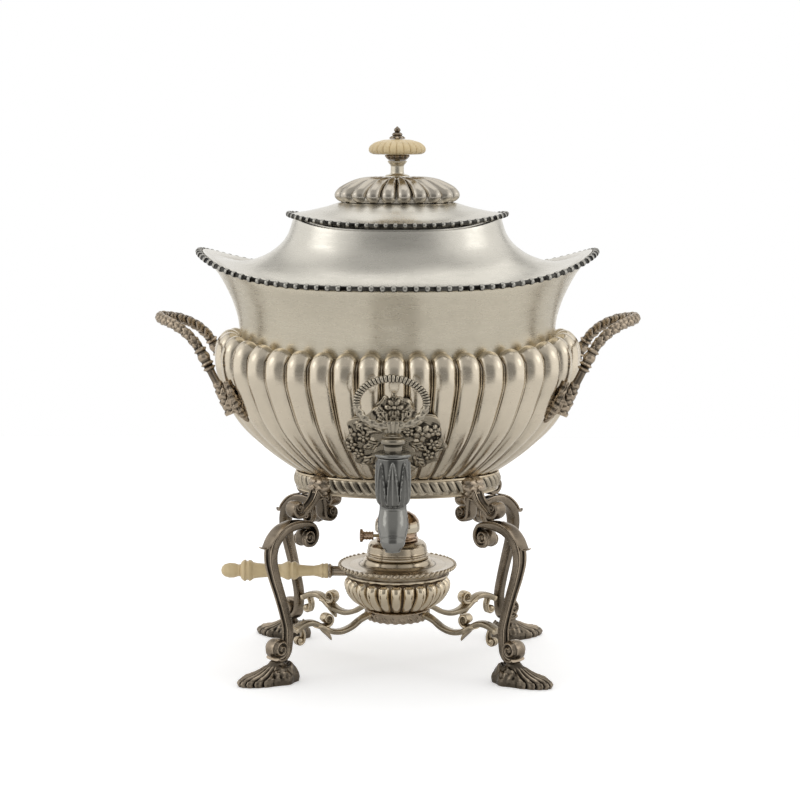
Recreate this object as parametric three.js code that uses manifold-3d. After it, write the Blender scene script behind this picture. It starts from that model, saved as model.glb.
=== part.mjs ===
// A silver tea kettle on its stand: an oval lobed urn with a lid, two loop handles and a tap,
// four scroll legs joined by stretchers, and a spirit burner with an ivory handle between them.
// Millimetres. +Z is up, the tap faces -Y and the burner's handle points to -X.
import * as THREE from 'three';
import { mergeVertices } from 'three/addons/utils/BufferGeometryUtils.js';
import Module from 'manifold-3d';

const wasm = await Module();
wasm.setup();

// Overall sizes
const HEIGHT = 400;
const JOINT_GAP = 0.3;
const SHEET = 1.2;

// Oval of the urn, and the narrower oval of the ring that it stands on
const BODY_RATIO = 0.73;
const FOOT_RATIO = 0.66;
const RIM_HALF_WIDTH = 143.3;
const RIM_HALF_DEPTH = 103.6;
const RIM_END_HEIGHT = 309;
const RIM_FRONT_HEIGHT = 290;
const RIM_BEADS = 104;
const RIM_BEAD_RADIUS = 2.8;

// Lobed bowl
const BOWL_BASE = 138;
const BOWL_TOP = 251.5;
const BOWL_TOP_DROP = 8;
const BOWL_LOBES = 40;
const BOWL_LOBE_DEPTH = 4.4;

// Lid and knob
const LID_HALF_WIDTH = 77.6;
const LID_HALF_DEPTH = 56.4;
const LID_BEADS = 64;
const LID_BEAD_RADIUS = 2.3;
const DOME_LOBES = 20;
const DOME_LOBE_DEPTH = 2.6;
const KNOB_BORE = 2.4;
const DISC_RADIUS = 21.3;
const DISC_FLUTES = 24;

// Handles
const HANDLE_TIP = 177;
const HANDLE_SPREAD = 38;

// Tap
const TAP_Y = -128;
const TAP_INLET_HEIGHT = 165;
const TAP_BARREL_BASE = 141;
const TAP_BARREL_TOP = 176;
const TAP_BORE = 4;
const KEY_HEIGHT = 215;
const KEY_HALF_WIDTH = 22.6;
const KEY_HALF_HEIGHT = 18.3;
const KEY_SECTION = 2.8;
const NOZZLE_LEAN = 10;
const NOZZLE_RADIUS = 9.3;
const NOZZLE_TIP_RADIUS = 7.2;

// Stand
const RING_HALF_WIDTH = 78.3;
const RING_GADROONS = 62;
const LEG_FOOT_X = 57;
const LEG_FOOT_Y = 35.5;
const LEG_HEADING = THREE.MathUtils.degToRad(46);
const FOOT_HEADING = THREE.MathUtils.degToRad(31);
const STRETCHER_HEADING = THREE.MathUtils.degToRad(35.9);
const BURNER_RING_RADIUS = 25.2;
const BURNER_RING_GADROONS = 24;

// Spirit burner
const BURNER_LOBES = 24;
const BURNER_LOBE_DEPTH = 2.2;
const BURNER_RADIUS = 40;
const GRIP_HEIGHT = 67.8;
const GRIP_START = -52;
const GRIP_END = -133;
const GRIP_BORE = 17.4;
const WICK_RADIUS = 5;
const PINION_RADIUS = 2.6;
const SPINDLE_HEIGHT = 96.5;
const SPINDLE_Y = -(WICK_RADIUS + PINION_RADIUS + 0.1);
const HINGE_REACH = 20;
const HINGE_Z = 95;

// The box of the whole object is centred on its origin, so the urn's own axis stands behind it
const FRONT_REACH = -TAP_Y + NOZZLE_LEAN + NOZZLE_TIP_RADIUS;
const BACK_REACH = RIM_HALF_DEPTH + 2 * RIM_BEAD_RADIUS + JOINT_GAP;
const AXIS_Y = (FRONT_REACH - BACK_REACH) / 2;

// Facets round the urn's smooth ovals, and on each lobe, so that corners lie in its grooves
const OVAL_FACETS = 24;
const LOBE_FACETS = 2;

const FINISHES = {
  polished: { color: 0xbeb7a5, roughness: 0.22, metalness: 1 },
  lobed: { color: 0xb3aa94, roughness: 0.28, metalness: 1 },
  cast: { color: 0x7a7263, roughness: 0.42, metalness: 1 },
  beading: { color: 0x6e675a, roughness: 0.38, metalness: 1 },
  tap: { color: 0x66706f, roughness: 0.25, metalness: 1 },
  copper: { color: 0xb98d68, roughness: 0.25, metalness: 1 },
  brass: { color: 0xa98f5a, roughness: 0.35, metalness: 1 },
  ivory: { color: 0xe3cfa4, roughness: 0.45, metalness: 0 },
  cotton: { color: 0xd8d2c0, roughness: 0.95, metalness: 0 },
};

const urn = new THREE.Group();
urn.position.y = AXIS_Y;

function add(name, geometry, finish) {
  const material = new THREE.MeshStandardMaterial({ ...FINISHES[finish], flatShading: true });
  const mesh = new THREE.Mesh(geometry, material);
  mesh.name = name;
  urn.add(mesh);
  return mesh;
}

// Merges shared corners, drops faces without area and turns the faces outwards
function tidy(geometry) {
  geometry.deleteAttribute('normal');
  geometry.deleteAttribute('uv');
  const merged = mergeVertices(geometry, 1e-4);
  const corners = merged.index.array;
  const point = (i) => new THREE.Vector3().fromBufferAttribute(merged.attributes.position, i);
  const faces = [];
  let volume = 0;
  for (let i = 0; i < corners.length; i += 3) {
    const [a, b, c] = corners.slice(i, i + 3);
    if (a === b || b === c || c === a) continue;
    faces.push([a, b, c]);
    volume += point(a).dot(point(b).cross(point(c)));
  }
  merged.setIndex(faces.flatMap(([a, b, c]) => (volume < 0 ? [a, c, b] : [a, b, c])));
  merged.computeVertexNormals();
  return merged;
}

function solid(geometry) {
  const vertProperties = new Float32Array(geometry.attributes.position.array);
  const triVerts = new Uint32Array(geometry.index.array);
  return new wasm.Manifold(new wasm.Mesh({ numProp: 3, vertProperties, triVerts }));
}

function shape(manifold) {
  const mesh = manifold.getMesh();
  const geometry = new THREE.BufferGeometry();
  geometry.setAttribute('position', new THREE.BufferAttribute(mesh.vertProperties, 3));
  geometry.setIndex(new THREE.BufferAttribute(mesh.triVerts, 1));
  return tidy(geometry);
}

function joined(...geometries) {
  return shape(geometries.map(solid).reduce((whole, next) => whole.add(next)));
}

function cut(geometry, ...tools) {
  return shape(tools.map(solid).reduce((whole, tool) => whole.subtract(tool), solid(geometry)));
}

function round(radius, height, turn) {
  const angle = 2 * Math.PI * turn;
  return [radius * Math.sin(angle), -radius * Math.cos(angle), height];
}

// A turned solid: its [radius, height] profile runs up the outside, and down the inside if it is
// hollow. place(radius, height, turn, row) may pull the circle into an oval or raise lobes on it.
function turned(profile, segments, place = round) {
  const points = profile.map(([radius, height]) => new THREE.Vector2(radius, height));
  const lathe = new THREE.LatheGeometry(points, segments);
  const position = lathe.attributes.position;
  for (let i = 0; i < position.count; i += 1) {
    const row = i % profile.length;
    const turn = Math.floor(i / profile.length) / segments;
    position.setXYZ(i, ...place(...profile[row], turn, row));
  }
  return tidy(lathe);
}

// Closes a profile that has a bore
function hollow(profile) {
  return [...profile, profile[0]];
}

// The closed outline of a sheet of even thickness: an open profile, and back along its inner side
function sheetLoop(profile, thickness = SHEET) {
  const inner = profile.map(([radius, height], i) => {
    const [r0, h0] = profile[Math.max(i - 1, 0)];
    const [r1, h1] = profile[Math.min(i + 1, profile.length - 1)];
    const length = Math.hypot(r1 - r0, h1 - h0);
    return [radius - thickness * (h1 - h0) / length, height + thickness * (r1 - r0) / length];
  });
  return hollow([...profile, ...inner.reverse()]);
}

// Angle on the oval at an even share of the way round it, so that lobes and beads are equal
const OVAL_STEPS = 720;
const ovalLengths = [0];
for (let i = 1; i <= OVAL_STEPS; i += 1) {
  const angle = 2 * Math.PI * (i - 0.5) / OVAL_STEPS;
  ovalLengths.push(ovalLengths[i - 1] + Math.hypot(Math.cos(angle), BODY_RATIO * Math.sin(angle)));
}

function ovalAngle(turn) {
  const share = turn - Math.floor(turn);
  const target = share * ovalLengths[OVAL_STEPS];
  const after = Math.max(ovalLengths.findIndex((length) => length >= target), 1);
  const step = (target - ovalLengths[after - 1]) / (ovalLengths[after] - ovalLengths[after - 1]);
  return 2 * Math.PI * (after - 1 + step) / OVAL_STEPS;
}

// The rims rise towards the two ends of the oval
function saddle(angle) {
  return Math.sin(angle) ** 4;
}

// A saddle-shaped oval sheet between its profile at the ends and its profile at the front
function saddleSheet(endProfile, frontProfile, segments, thickness = SHEET) {
  const ends = sheetLoop(endProfile, thickness);
  const fronts = sheetLoop(frontProfile, thickness);
  return turned(ends, segments, (radius, height, turn, row) => {
    const angle = ovalAngle(turn);
    const [depth, low] = fronts[row];
    const lift = saddle(angle);
    return [radius * Math.sin(angle), -depth * Math.cos(angle), low + (height - low) * lift];
  });
}

// Swell of a lobed form: 0 in a groove and 1 on the crest of a lobe, with a crest at the front
function lobe(turn, count) {
  return Math.sqrt(Math.abs(Math.sin(Math.PI * (turn * count + 0.5))));
}

// A ring of beads, or of slanting gadroons, along an oval. centre(angle) gives the middle of the
// section and out its half-width and half-height on a bead; the waist lies between two beads.
function beadedRing(beads, sides, centre, out, waist) {
  const section = Array.from({ length: sides + 1 }, (_, i) => {
    const angle = 2 * Math.PI * (i % sides) / sides;
    return [Math.cos(angle), Math.sin(angle)];
  });
  return turned(section, 2 * beads, (across, up, turn) => {
    const onBead = Math.round(turn * 2 * beads) % 2 === 0;
    const [halfWidth, halfHeight] = onBead ? out : waist;
    const [x, y, z] = centre(turn);
    const radius = Math.hypot(x, y);
    const reach = 1 + across * halfWidth / radius;
    return [x * reach, y * reach, z + up * halfHeight];
  });
}

// A bar bent along a curve that lies in an upright plane or wraps a body. flat is the direction
// across the bar; size(share) gives the half-width that way and the half-thickness in the bend.
function bar(curve, steps, sides, flat, size) {
  const blank = new THREE.CylinderGeometry(1, 1, 1, sides, steps);
  const position = blank.attributes.position;
  for (let i = 0; i < position.count; i += 1) {
    const share = THREE.MathUtils.clamp(position.getY(i) + 0.5, 0, 1);
    const tangent = curve.getTangentAt(share);
    const across = flat.clone().addScaledVector(tangent, -flat.dot(tangent)).normalize();
    const outward = across.clone().cross(tangent);
    const [halfWidth, halfThickness] = size(share);
    const point = curve.getPointAt(share);
    point.addScaledVector(across, position.getX(i) * halfWidth);
    point.addScaledVector(outward, position.getZ(i) * halfThickness);
    position.setXYZ(i, point.x, point.y, point.z);
  }
  return tidy(blank);
}

// A smooth curve through [x, z] points of an upright plane
function upright(points) {
  return new THREE.CatmullRomCurve3(points.map(([x, z]) => new THREE.Vector3(x, 0, z)));
}

// Points of a scroll that winds in round its eye: angles in degrees, from +X towards +Z
function scroll([x, z], startRadius, endRadius, startAngle, endAngle, count) {
  return Array.from({ length: count }, (_, i) => {
    const share = i / (count - 1);
    const angle = THREE.MathUtils.degToRad(startAngle + (endAngle - startAngle) * share);
    const radius = startRadius + (endRadius - startRadius) * share;
    return [x + radius * Math.cos(angle), z + radius * Math.sin(angle)];
  });
}

const ACROSS = new THREE.Vector3(0, 1, 0);
const lerp = THREE.MathUtils.lerp;
const smooth = THREE.MathUtils.smoothstep;

// Urn: bowl
const BOWL_PROFILE = [
  [0, BOWL_BASE, 0],
  [60, BOWL_BASE + 0.6, 0],
  [79, 148.5, 0.35],
  [101.5, 165.5, 0.85],
  [121, 186.5, 1],
  [133.6, 216, 1],
  [135.7, 233, 1],
  [130.5, 244.5, 0.9],
  [117.6, BOWL_TOP, 0],
];

function bowlRatio(height) {
  return lerp(FOOT_RATIO, BODY_RATIO, smooth(height, 147, 205));
}

function bowlPoint(radius, height, turn, share) {
  const angle = ovalAngle(turn);
  const groove = BOWL_LOBE_DEPTH * share * (1 - lobe(turn, BOWL_LOBES));
  const reach = radius - groove;
  const drop = BOWL_TOP_DROP * (1 - saddle(angle)) * smooth(height, 195, 250);
  return [reach * Math.sin(angle), -reach * bowlRatio(height) * Math.cos(angle), height - drop];
}

function bowlBlank() {
  const closed = [...BOWL_PROFILE.map(([radius, height]) => [radius, height]), [0, BOWL_TOP]];
  const place = (radius, height, turn, row) => {
    const share = row < BOWL_PROFILE.length ? BOWL_PROFILE[row][2] : 0;
    return bowlPoint(radius, height, turn, share);
  };
  return turned(closed, LOBE_FACETS * BOWL_LOBES, place);
}

// The bowl's smooth outer form, which touches its lobes, with the gap that a joint needs
function bowlEnvelope() {
  const profile = BOWL_PROFILE.map(([radius, height]) => [radius && radius + JOINT_GAP + SHEET, height]);
  return turned([...profile, [0, BOWL_TOP]], OVAL_FACETS + 8, (radius, height, turn) => (
    bowlPoint(radius, height, turn, 0)
  ));
}

function urnBowl() {
  const wall = BOWL_LOBE_DEPTH + SHEET;
  const inside = [
    [0, BOWL_BASE + SHEET],
    [58, BOWL_BASE + 2 * SHEET],
    [94, 165.5],
    [114.5, 187],
    [135 - wall, 232],
    [116.2, BOWL_TOP - 1],
    [116.2, BOWL_TOP + 10],
    [0, BOWL_TOP + 10],
  ];
  const cavity = turned(inside, OVAL_FACETS, (radius, height, turn) => bowlPoint(radius, height, turn, 0));
  const inlet = new THREE.CylinderGeometry(TAP_BORE, TAP_BORE, 60, 12);
  inlet.translate(0, -90, TAP_INLET_HEIGHT);
  return cut(bowlBlank(), cavity, tidy(inlet));
}

// Urn: neck, shoulder and rim
function urnNeck() {
  const ends = [[116.8, 252], [118.6, 263], [123.4, 277], [132, 293.5], [142, 306]];
  const fronts = [[85.2, 244], [86.6, 251.5], [90, 262], [96.2, 274.5], [102.8, 286.6]];
  return saddleSheet(ends, fronts, OVAL_FACETS);
}

function urnShoulder() {
  const ends = [
    [RIM_HALF_WIDTH, RIM_END_HEIGHT + 1], [132, 304], [115, 301.4],
    [100, 305], [88, 312.4], [80.6, 321.5], [76.3, 334],
  ];
  const fronts = [
    [RIM_HALF_DEPTH, RIM_FRONT_HEIGHT + 1], [95.5, 286.4], [84.5, 284.6],
    [73.5, 289.8], [65.2, 298.6], [59.5, 310], [55.6, 326],
  ];
  return saddleSheet(ends, fronts, OVAL_FACETS);
}

function rimCentre(halfWidth, halfDepth, endHeight, frontHeight) {
  return (turn) => {
    const angle = ovalAngle(turn);
    const z = lerp(frontHeight, endHeight, saddle(angle));
    return [halfWidth * Math.sin(angle), -halfDepth * Math.cos(angle), z];
  };
}

function rimBeading() {
  const inset = JOINT_GAP + RIM_BEAD_RADIUS;
  const centre = rimCentre(
    RIM_HALF_WIDTH + inset, RIM_HALF_DEPTH + inset, RIM_END_HEIGHT, RIM_FRONT_HEIGHT,
  );
  const bead = [RIM_BEAD_RADIUS, RIM_BEAD_RADIUS];
  return beadedRing(RIM_BEADS, 3, centre, bead, [1.5, 1.5]);
}

// Urn: loop handles, each two arms that rise from the bowl and meet at the tip
function loopHandle() {
  const arm = [
    [119, 1, 193], [125, 1, 206], [132.5, 1, 219.5], [139.5, 0.97, 232],
    [146.5, 0.92, 242], [155, 0.8, 250], [165, 0.56, 255.5], [173, 0.28, 258.5],
  ];
  const front = arm.map(([x, y, z]) => new THREE.Vector3(x, -y * HANDLE_SPREAD, z));
  const back = arm.map(([x, y, z]) => new THREE.Vector3(x, y * HANDLE_SPREAD, z)).reverse();
  const tip = new THREE.Vector3(HANDLE_TIP, 0, 259.5);
  const curve = new THREE.CatmullRomCurve3([...front, tip, ...back]);
  const collars = [0.13, 0.21, 0.79, 0.87];
  const size = (share) => {
    const near = Math.min(...collars.map((at) => Math.abs(share - at)));
    const root = Math.max(0, 1 - Math.min(share, 1 - share) / 0.08);
    const radius = 3.6 + (near < 0.02 ? 1.2 : 0) + 2 * root;
    return [radius, radius * 0.9];
  };
  const loop = bar(curve, 26, 4, new THREE.Vector3(0.5, 0, -1), size);
  const leaves = [-1, 1].map((way) => {
    const leaf = new THREE.SphereGeometry(1, 6, 4);
    leaf.scale(5.5, 9.5, 16);
    leaf.rotateY(THREE.MathUtils.degToRad(26));
    leaf.rotateZ(way * THREE.MathUtils.degToRad(28));
    leaf.translate(118, way * (HANDLE_SPREAD + 1), 199);
    return tidy(leaf);
  });
  return cut(joined(loop, ...leaves), bowlEnvelope());
}

// Tap: the floral plate follows the bowl's swell behind the tap
function bowlDepth(x, z) {
  const rows = BOWL_PROFILE.map(([radius, height]) => (
    [radius, ...bowlPoint(radius, height, 0, 0).slice(1)]
  ));
  const after = rows.findIndex(([, , height]) => height > z);
  const [r0, y0, z0] = rows[after - 1];
  const [r1, y1, z1] = rows[after];
  const share = (z - z0) / (z1 - z0);
  return -lerp(y0, y1, share) * Math.sqrt(1 - (x / lerp(r0, r1, share)) ** 2);
}

function tapEscutcheon() {
  const rows = [[0, -6], [1, -2], [1, 2.2], [0.72, 4.2], [0.4, 2.6], [0, 5]];
  const place = (share, relief, turn) => {
    const angle = 2 * Math.PI * turn;
    const petals = 1 + 0.09 * Math.cos(9 * angle);
    const spray = 1 + 0.25 * Math.max(0, Math.cos(angle)) ** 6;
    const x = 33 * share * petals * Math.sin(angle) * (1 - 0.35 * Math.max(0, Math.cos(angle)) ** 2);
    const z = 181 + 27 * share * petals * spray * Math.cos(angle);
    return [x, -(bowlDepth(x, z) + JOINT_GAP + relief), z];
  };
  const plate = turned(rows, 18, place);
  const passage = new THREE.CylinderGeometry(8.3, 8.3, 80, 12);
  passage.translate(0, -90, TAP_INLET_HEIGHT);
  return cut(plate, tidy(passage), bowlEnvelope());
}

function tapShank() {
  const length = 50;
  const start = -TAP_Y - 13.2 - length;
  const pipe = hollow([
    [TAP_BORE, 0], [8, 0], [8, length - 8], [9.4, length - 6], [9.4, length - 3], [8, length - 1],
    [8, length], [TAP_BORE, length],
  ]);
  const shank = turned(pipe, 12);
  shank.rotateX(Math.PI / 2);
  shank.translate(0, -start, TAP_INLET_HEIGHT);
  return cut(shank, bowlEnvelope());
}

function onTap(geometry) {
  return geometry.translate(0, TAP_Y, 0);
}

function tapBody() {
  const barrel = turned([
    [0, TAP_BARREL_BASE - 3], [9, TAP_BARREL_BASE - 3], [10.2, 143], [12.6, 150], [12.9, 162],
    [11.9, TAP_BARREL_TOP], [0, TAP_BARREL_TOP],
  ], 14);
  const lean = [[0, 143], [0, 138], [-3, 130], [-7.5, 123], [-NOZZLE_LEAN, 117], [-NOZZLE_LEAN, 112]];
  const path = new THREE.CatmullRomCurve3(lean.map(([y, z]) => new THREE.Vector3(0, y, z)));
  const sideways = new THREE.Vector3(1, 0, 0);
  const nozzle = bar(path, 5, 10, sideways, (share) => {
    const radius = share > 0.74 ? NOZZLE_TIP_RADIUS : NOZZLE_RADIUS;
    return [radius, radius];
  });
  const water = bar(path, 4, 6, sideways, () => [TAP_BORE + 1, TAP_BORE + 1]);
  const seat = turned([[0, 139], [6.9, 139], [8.6, TAP_BARREL_TOP + 1], [0, TAP_BARREL_TOP + 1]], 12);
  const inlet = new THREE.CylinderGeometry(TAP_BORE, TAP_BORE, 20, 12);
  inlet.translate(0, 10, TAP_INLET_HEIGHT);
  const outlet = turned([[0, 100], [TAP_BORE + 1, 100], [TAP_BORE + 1, 113], [0, 113]], 8);
  outlet.translate(0, -NOZZLE_LEAN, 0);
  return onTap(cut(joined(barrel, nozzle), water, seat, tidy(inlet), outlet));
}

// The hollow plug lets water in by a side port, and out at its foot into the nozzle
function tapPlug() {
  const blank = turned(hollow([
    [TAP_BORE, 141.3], [6.7, 141.3], [8.25, TAP_BARREL_TOP], [6.2, TAP_BARREL_TOP + JOINT_GAP], [6.2, 184],
    [7.4, 185.2], [7.4, 186.2], [1.6, 186.2], [1.6, 172], [TAP_BORE, 169.5],
  ]), 12);
  const port = new THREE.CylinderGeometry(TAP_BORE, TAP_BORE, 20, 10);
  port.rotateZ(Math.PI / 2);
  port.translate(10, 0, TAP_INLET_HEIGHT);
  return onTap(cut(blank, tidy(port)));
}

function tapCap() {
  const low = TAP_BARREL_TOP + JOINT_GAP;
  return onTap(turned(hollow([
    [8.6, low], [12.2, low], [12.9, low + 1.6], [11.6, low + 3], [8.2, low + 4], [6.6, low + 4],
    [6.6, low + 0.6],
  ]), 12));
}

// The key: a collar and a fluted fan that carry an oval finger ring
function tapKey() {
  const sides = 4;
  const section = Array.from({ length: sides + 1 }, (_, i) => {
    const angle = 2 * Math.PI * (i % sides) / sides;
    return [Math.cos(angle), Math.sin(angle)];
  });
  const ring = turned(section, 28, (out, across, turn) => {
    const angle = 2 * Math.PI * turn;
    const halfWidth = KEY_HALF_WIDTH + KEY_SECTION * out;
    const halfHeight = KEY_HALF_HEIGHT + KEY_SECTION * out;
    return [halfWidth * Math.sin(angle), KEY_SECTION * across, KEY_HEIGHT + halfHeight * Math.cos(angle)];
  });
  const fan = turned([
    [0, 186.6], [8.6, 186.6], [8.6, 188.8], [5.4, 189.4], [5, 191], [7.5, 197.5], [0, 198.5],
  ], 10, (radius, height, turn) => {
    const [x, y, z] = round(radius, height, turn);
    return [x, height > 189 ? y * 0.5 : y, z];
  });
  const stud = turned([[0, 176], [1.3, 176], [1.3, 187], [0, 187]], 8);
  return onTap(joined(ring, fan, stud));
}

// Lid
function lidCover() {
  const ends = [[LID_HALF_WIDTH, 336.6], [66, 338.5], [53, 341.4], [43, 344.4], [36, 344.6]];
  const fronts = [[LID_HALF_DEPTH, 328.6], [48, 332.6], [38.5, 338.8], [31, 344], [26, 344.6]];
  return saddleSheet(ends, fronts, OVAL_FACETS);
}

function lidBeading() {
  const inset = JOINT_GAP + LID_BEAD_RADIUS;
  const centre = rimCentre(LID_HALF_WIDTH + inset, LID_HALF_DEPTH + inset, 336.4, 328.4);
  const bead = [LID_BEAD_RADIUS, LID_BEAD_RADIUS];
  return beadedRing(LID_BEADS, 3, centre, bead, [1.2, 1.2]);
}

function lidBezel() {
  return saddleSheet([[73.5, 319.5], [73.5, 335]], [[52.8, 311.5], [52.8, 327]], OVAL_FACETS, 1);
}

function domePoint(radius, height, turn, depth) {
  const angle = ovalAngle(turn + 0.5 / DOME_LOBES);
  const ratio = lerp(1, 0.72, smooth(radius, 8, 34));
  const reach = radius - depth * (1 - lobe(turn, DOME_LOBES));
  return [reach * Math.sin(angle), -reach * ratio * Math.cos(angle), height];
}

function lidDome() {
  const outside = [
    [46, 345.2, 1], [47, 349.5, 1], [41.5, 356.4, 1], [30, 361.4, 0.8], [KNOB_BORE, 363.8, 0],
  ];
  const inside = [[KNOB_BORE, 362.4, 0], [25, 360, 0], [42.4, 345.2, 0]];
  const rows = hollow([...outside, ...inside]);
  const profile = rows.map(([radius, height]) => [radius, height]);
  return turned(profile, LOBE_FACETS * DOME_LOBES, (radius, height, turn, row) => (
    domePoint(radius, height, turn, DOME_LOBE_DEPTH * rows[row][2])
  ));
}

function knobStem() {
  return turned(hollow([
    [KNOB_BORE, 364.1], [10.5, 364.1], [10.5, 365.2], [7, 366.4], [4.9, 369], [4.8, 372], [6.9, 374],
    [5, 375.2], [KNOB_BORE, 375.2],
  ]), 12);
}

function knobCollar() {
  return turned(hollow([
    [KNOB_BORE, 375.5], [7.4, 375.5], [9.2, 378.2], [8.2, 379.3], [KNOB_BORE, 379.3],
  ]), 12);
}

function knobDisc() {
  const rows = [
    [KNOB_BORE, 379.6, 0], [18.4, 380, 1], [DISC_RADIUS, 383.4, 1], [17.4, 387.8, 1],
    [KNOB_BORE, 390.6, 0],
  ];
  const profile = hollow(rows.map(([radius, height]) => [radius, height]));
  return turned(profile, 2 * DISC_FLUTES, (radius, height, turn, row) => {
    const flute = Math.round(turn * 2 * DISC_FLUTES) % 2;
    return round(radius - 1.1 * flute * rows[row % rows.length][2], height, turn);
  });
}

function knobFinial() {
  return turned([
    [0, 394], [2.2, 394], [2.2, 390.9], [5.2, 390.9], [5.2, 392.2], [3.6, 393], [3.6, 394.4], [2.1, 395.4],
    [2.6, 396.8], [1.6, 398.6], [0, HEIGHT],
  ], 8);
}

function knobBolt() {
  return turned([[0, 360], [4.6, 360], [4.6, 362.1], [1.9, 362.1], [1.9, 393.7], [0, 393.7]], 8);
}

// Stand: oval ring with a border of slanting gadroons
function ringPlace(radius, height, turn) {
  const angle = ovalAngle(turn);
  return [radius * Math.sin(angle), -radius * FOOT_RATIO * Math.cos(angle), height];
}

function standRing() {
  return turned(hollow([[69.5, 132], [75.4, 132], [75.4, 144.2], [69.5, 141]]), OVAL_FACETS + 8, ringPlace);
}

function gadroonBorder() {
  const section = hollow([[75.8, 135.2], [RING_HALF_WIDTH, 138], [77, 146.4]]);
  const slant = 0.5 / RING_GADROONS;
  return turned(section, 2 * RING_GADROONS, (radius, height, turn) => {
    const hollowed = Math.round(turn * 2 * RING_GADROONS) % 2;
    const outer = radius > 77.5 ? radius - 1.3 * hollowed : radius;
    return ringPlace(outer, height, turn + slant * (height - 141) / 6);
  });
}

// The room that the ring and its border take up among the corner brackets
function ringRoom() {
  const outer = RING_HALF_WIDTH + 2 * JOINT_GAP;
  const section = hollow([[68, 132 - JOINT_GAP], [outer, 132 - JOINT_GAP], [outer, 150], [68, 150]]);
  return turned(section, 2 * OVAL_FACETS, ringPlace);
}

// Stand: the parts of one corner, made in its upright plane with the leg reaching towards +X
const KNUCKLE = [55.5, 100.6];
const TOE = [42, 24.7];
const FOOT_TOP = 14.2;

function scrollLeg() {
  const crest = scroll([14, 103.4], 3, 9.8, 390, 100, 8);
  const shin = [
    [25, 113.4], [36.5, 110], [44.6, 101.5], [46.6, 91], [43.6, 78], [38.6, 64], [34, 50], [30.8, 37],
  ];
  const toe = scroll(TOE, 10.4, 2.2, 180, 480, 8);
  const curve = upright([...crest, ...shin, ...toe]);
  const size = (share) => {
    const rolled = Math.max(smooth(share, 0.8, 0.9), 1 - smooth(share, 0.16, 0.3));
    const thickness = lerp(4, 2, rolled) * lerp(1, 0.8, smooth(share, 0.5, 0.75));
    return [lerp(lerp(5, 3.6, smooth(share, 0.3, 0.75)), 6.4, rolled), thickness];
  };
  const spur = new THREE.ConeGeometry(3.4, 9, 4);
  spur.rotateZ(-Math.PI / 2.6);
  spur.rotateX(Math.PI / 2);
  spur.translate(KNUCKLE[0] - 1.5, 0, KNUCKLE[1]);
  return joined(bar(curve, 28, 4, ACROSS, size), tidy(spur));
}

// The foot turns out from its leg's plane, and its scallops spread from under the toe's ball
function shellFoot() {
  const rows = [
    [0, 0], [1, 0], [1, 3], [0.86, 6.2], [0.6, 10], [0.4, FOOT_TOP - 0.8], [0.28, FOOT_TOP], [0, FOOT_TOP],
  ];
  const place = (share, height, turn) => {
    const angle = 2 * Math.PI * turn;
    const forward = Math.max(0, -Math.cos(angle));
    const scallop = 1 + (0.03 + 0.05 * forward) * Math.cos(9 * angle) * share;
    const reach = Math.cos(angle) < 0 ? 32 : 17;
    return [
      -share * scallop * reach * Math.cos(angle),
      share * scallop * 13 * Math.sin(angle),
      height,
    ];
  };
  return turned(rows, 18, place);
}

function cornerBracket() {
  const outer = upright([[1, 144], [2, 136], [6.5, 128.5], ...scroll([22, 126.3], 8, 2.2, 215, 470, 6)]);
  const inner = upright([
    [1, 144], [-1, 136], [-2.5, 126], ...scroll([-9.9, 119.2], 6.6, 2.4, -20, -250, 5),
  ]);
  const size = (share) => [lerp(4.2, 5.2, share), lerp(2.6, 1.5, share)];
  const cap = new THREE.SphereGeometry(1, 6, 4);
  cap.scale(6.5, 11, 7.5);
  cap.translate(1.5, 0, 138.8);
  return joined(bar(outer, 9, 4, ACROSS, size), bar(inner, 8, 4, ACROSS, size), tidy(cap));
}

function stretcher() {
  const main = upright([
    [92, 34.6], [84, 38.2], [76, 38.6], [68, 34.5], [60, 30.2], [51, 28.6], [42, 30.6], [34, 35],
    [25.9, 38.4],
  ]);
  const curl = upright([[72, 35.5], [66, 34.6], ...scroll([64, 39.9], 4.6, 1.6, 250, -60, 6)]);
  const drop = upright([[85.4, 36.6], [84, 31], ...scroll([87.6, 27.4], 3.4, 1.4, 180, 430, 5)]);
  const width = (share) => [lerp(3.2, 2.6, share), 1.9];
  return joined(
    bar(main, 10, 4, ACROSS, width),
    bar(curl, 5, 4, ACROSS, () => [3.4, 1.3]),
    bar(drop, 4, 4, ACROSS, () => [2.8, 1.2]),
  );
}

function burnerRing() {
  const section = hollow([[21.6, 32], [24.6, 32.6], [BURNER_RING_RADIUS, 40.2], [21.6, 38.6]]);
  const slant = 0.5 / BURNER_RING_GADROONS;
  return turned(section, 2 * BURNER_RING_GADROONS, (radius, height, turn) => {
    const hollowed = Math.round(turn * 2 * BURNER_RING_GADROONS) % 2;
    const outer = radius > 24 && height < 39 ? radius - 1.1 * hollowed : radius;
    return round(outer, height, turn + slant * (height - 36) / 6);
  });
}

// Spirit burner
function burnerBowl() {
  const outside = [
    [0, 36.2, 0], [19, 36.6, 0], [23.4, 40.7, 0], [30, 42.6, 0.7], [37.4, 50, 1],
    [BURNER_RADIUS, 58.5, 1], [39, 63.4, 0.1], [42, 71.6, 0], [0, 71.6, 0],
  ];
  const profile = outside.map(([radius, height]) => [radius, height]);
  const blank = turned(profile, LOBE_FACETS * BURNER_LOBES, (radius, height, turn, row) => {
    const groove = BURNER_LOBE_DEPTH * outside[row][2] * (1 - lobe(turn, BURNER_LOBES));
    return round(radius - groove, height, turn);
  });
  const cavity = turned([
    [0, 37.4], [16, 37.4], [26.5, 42.6], [36.2, 55], [36.6, 61], [40.6, 72], [0, 72],
  ], 20);
  return cut(blank, cavity);
}

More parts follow.
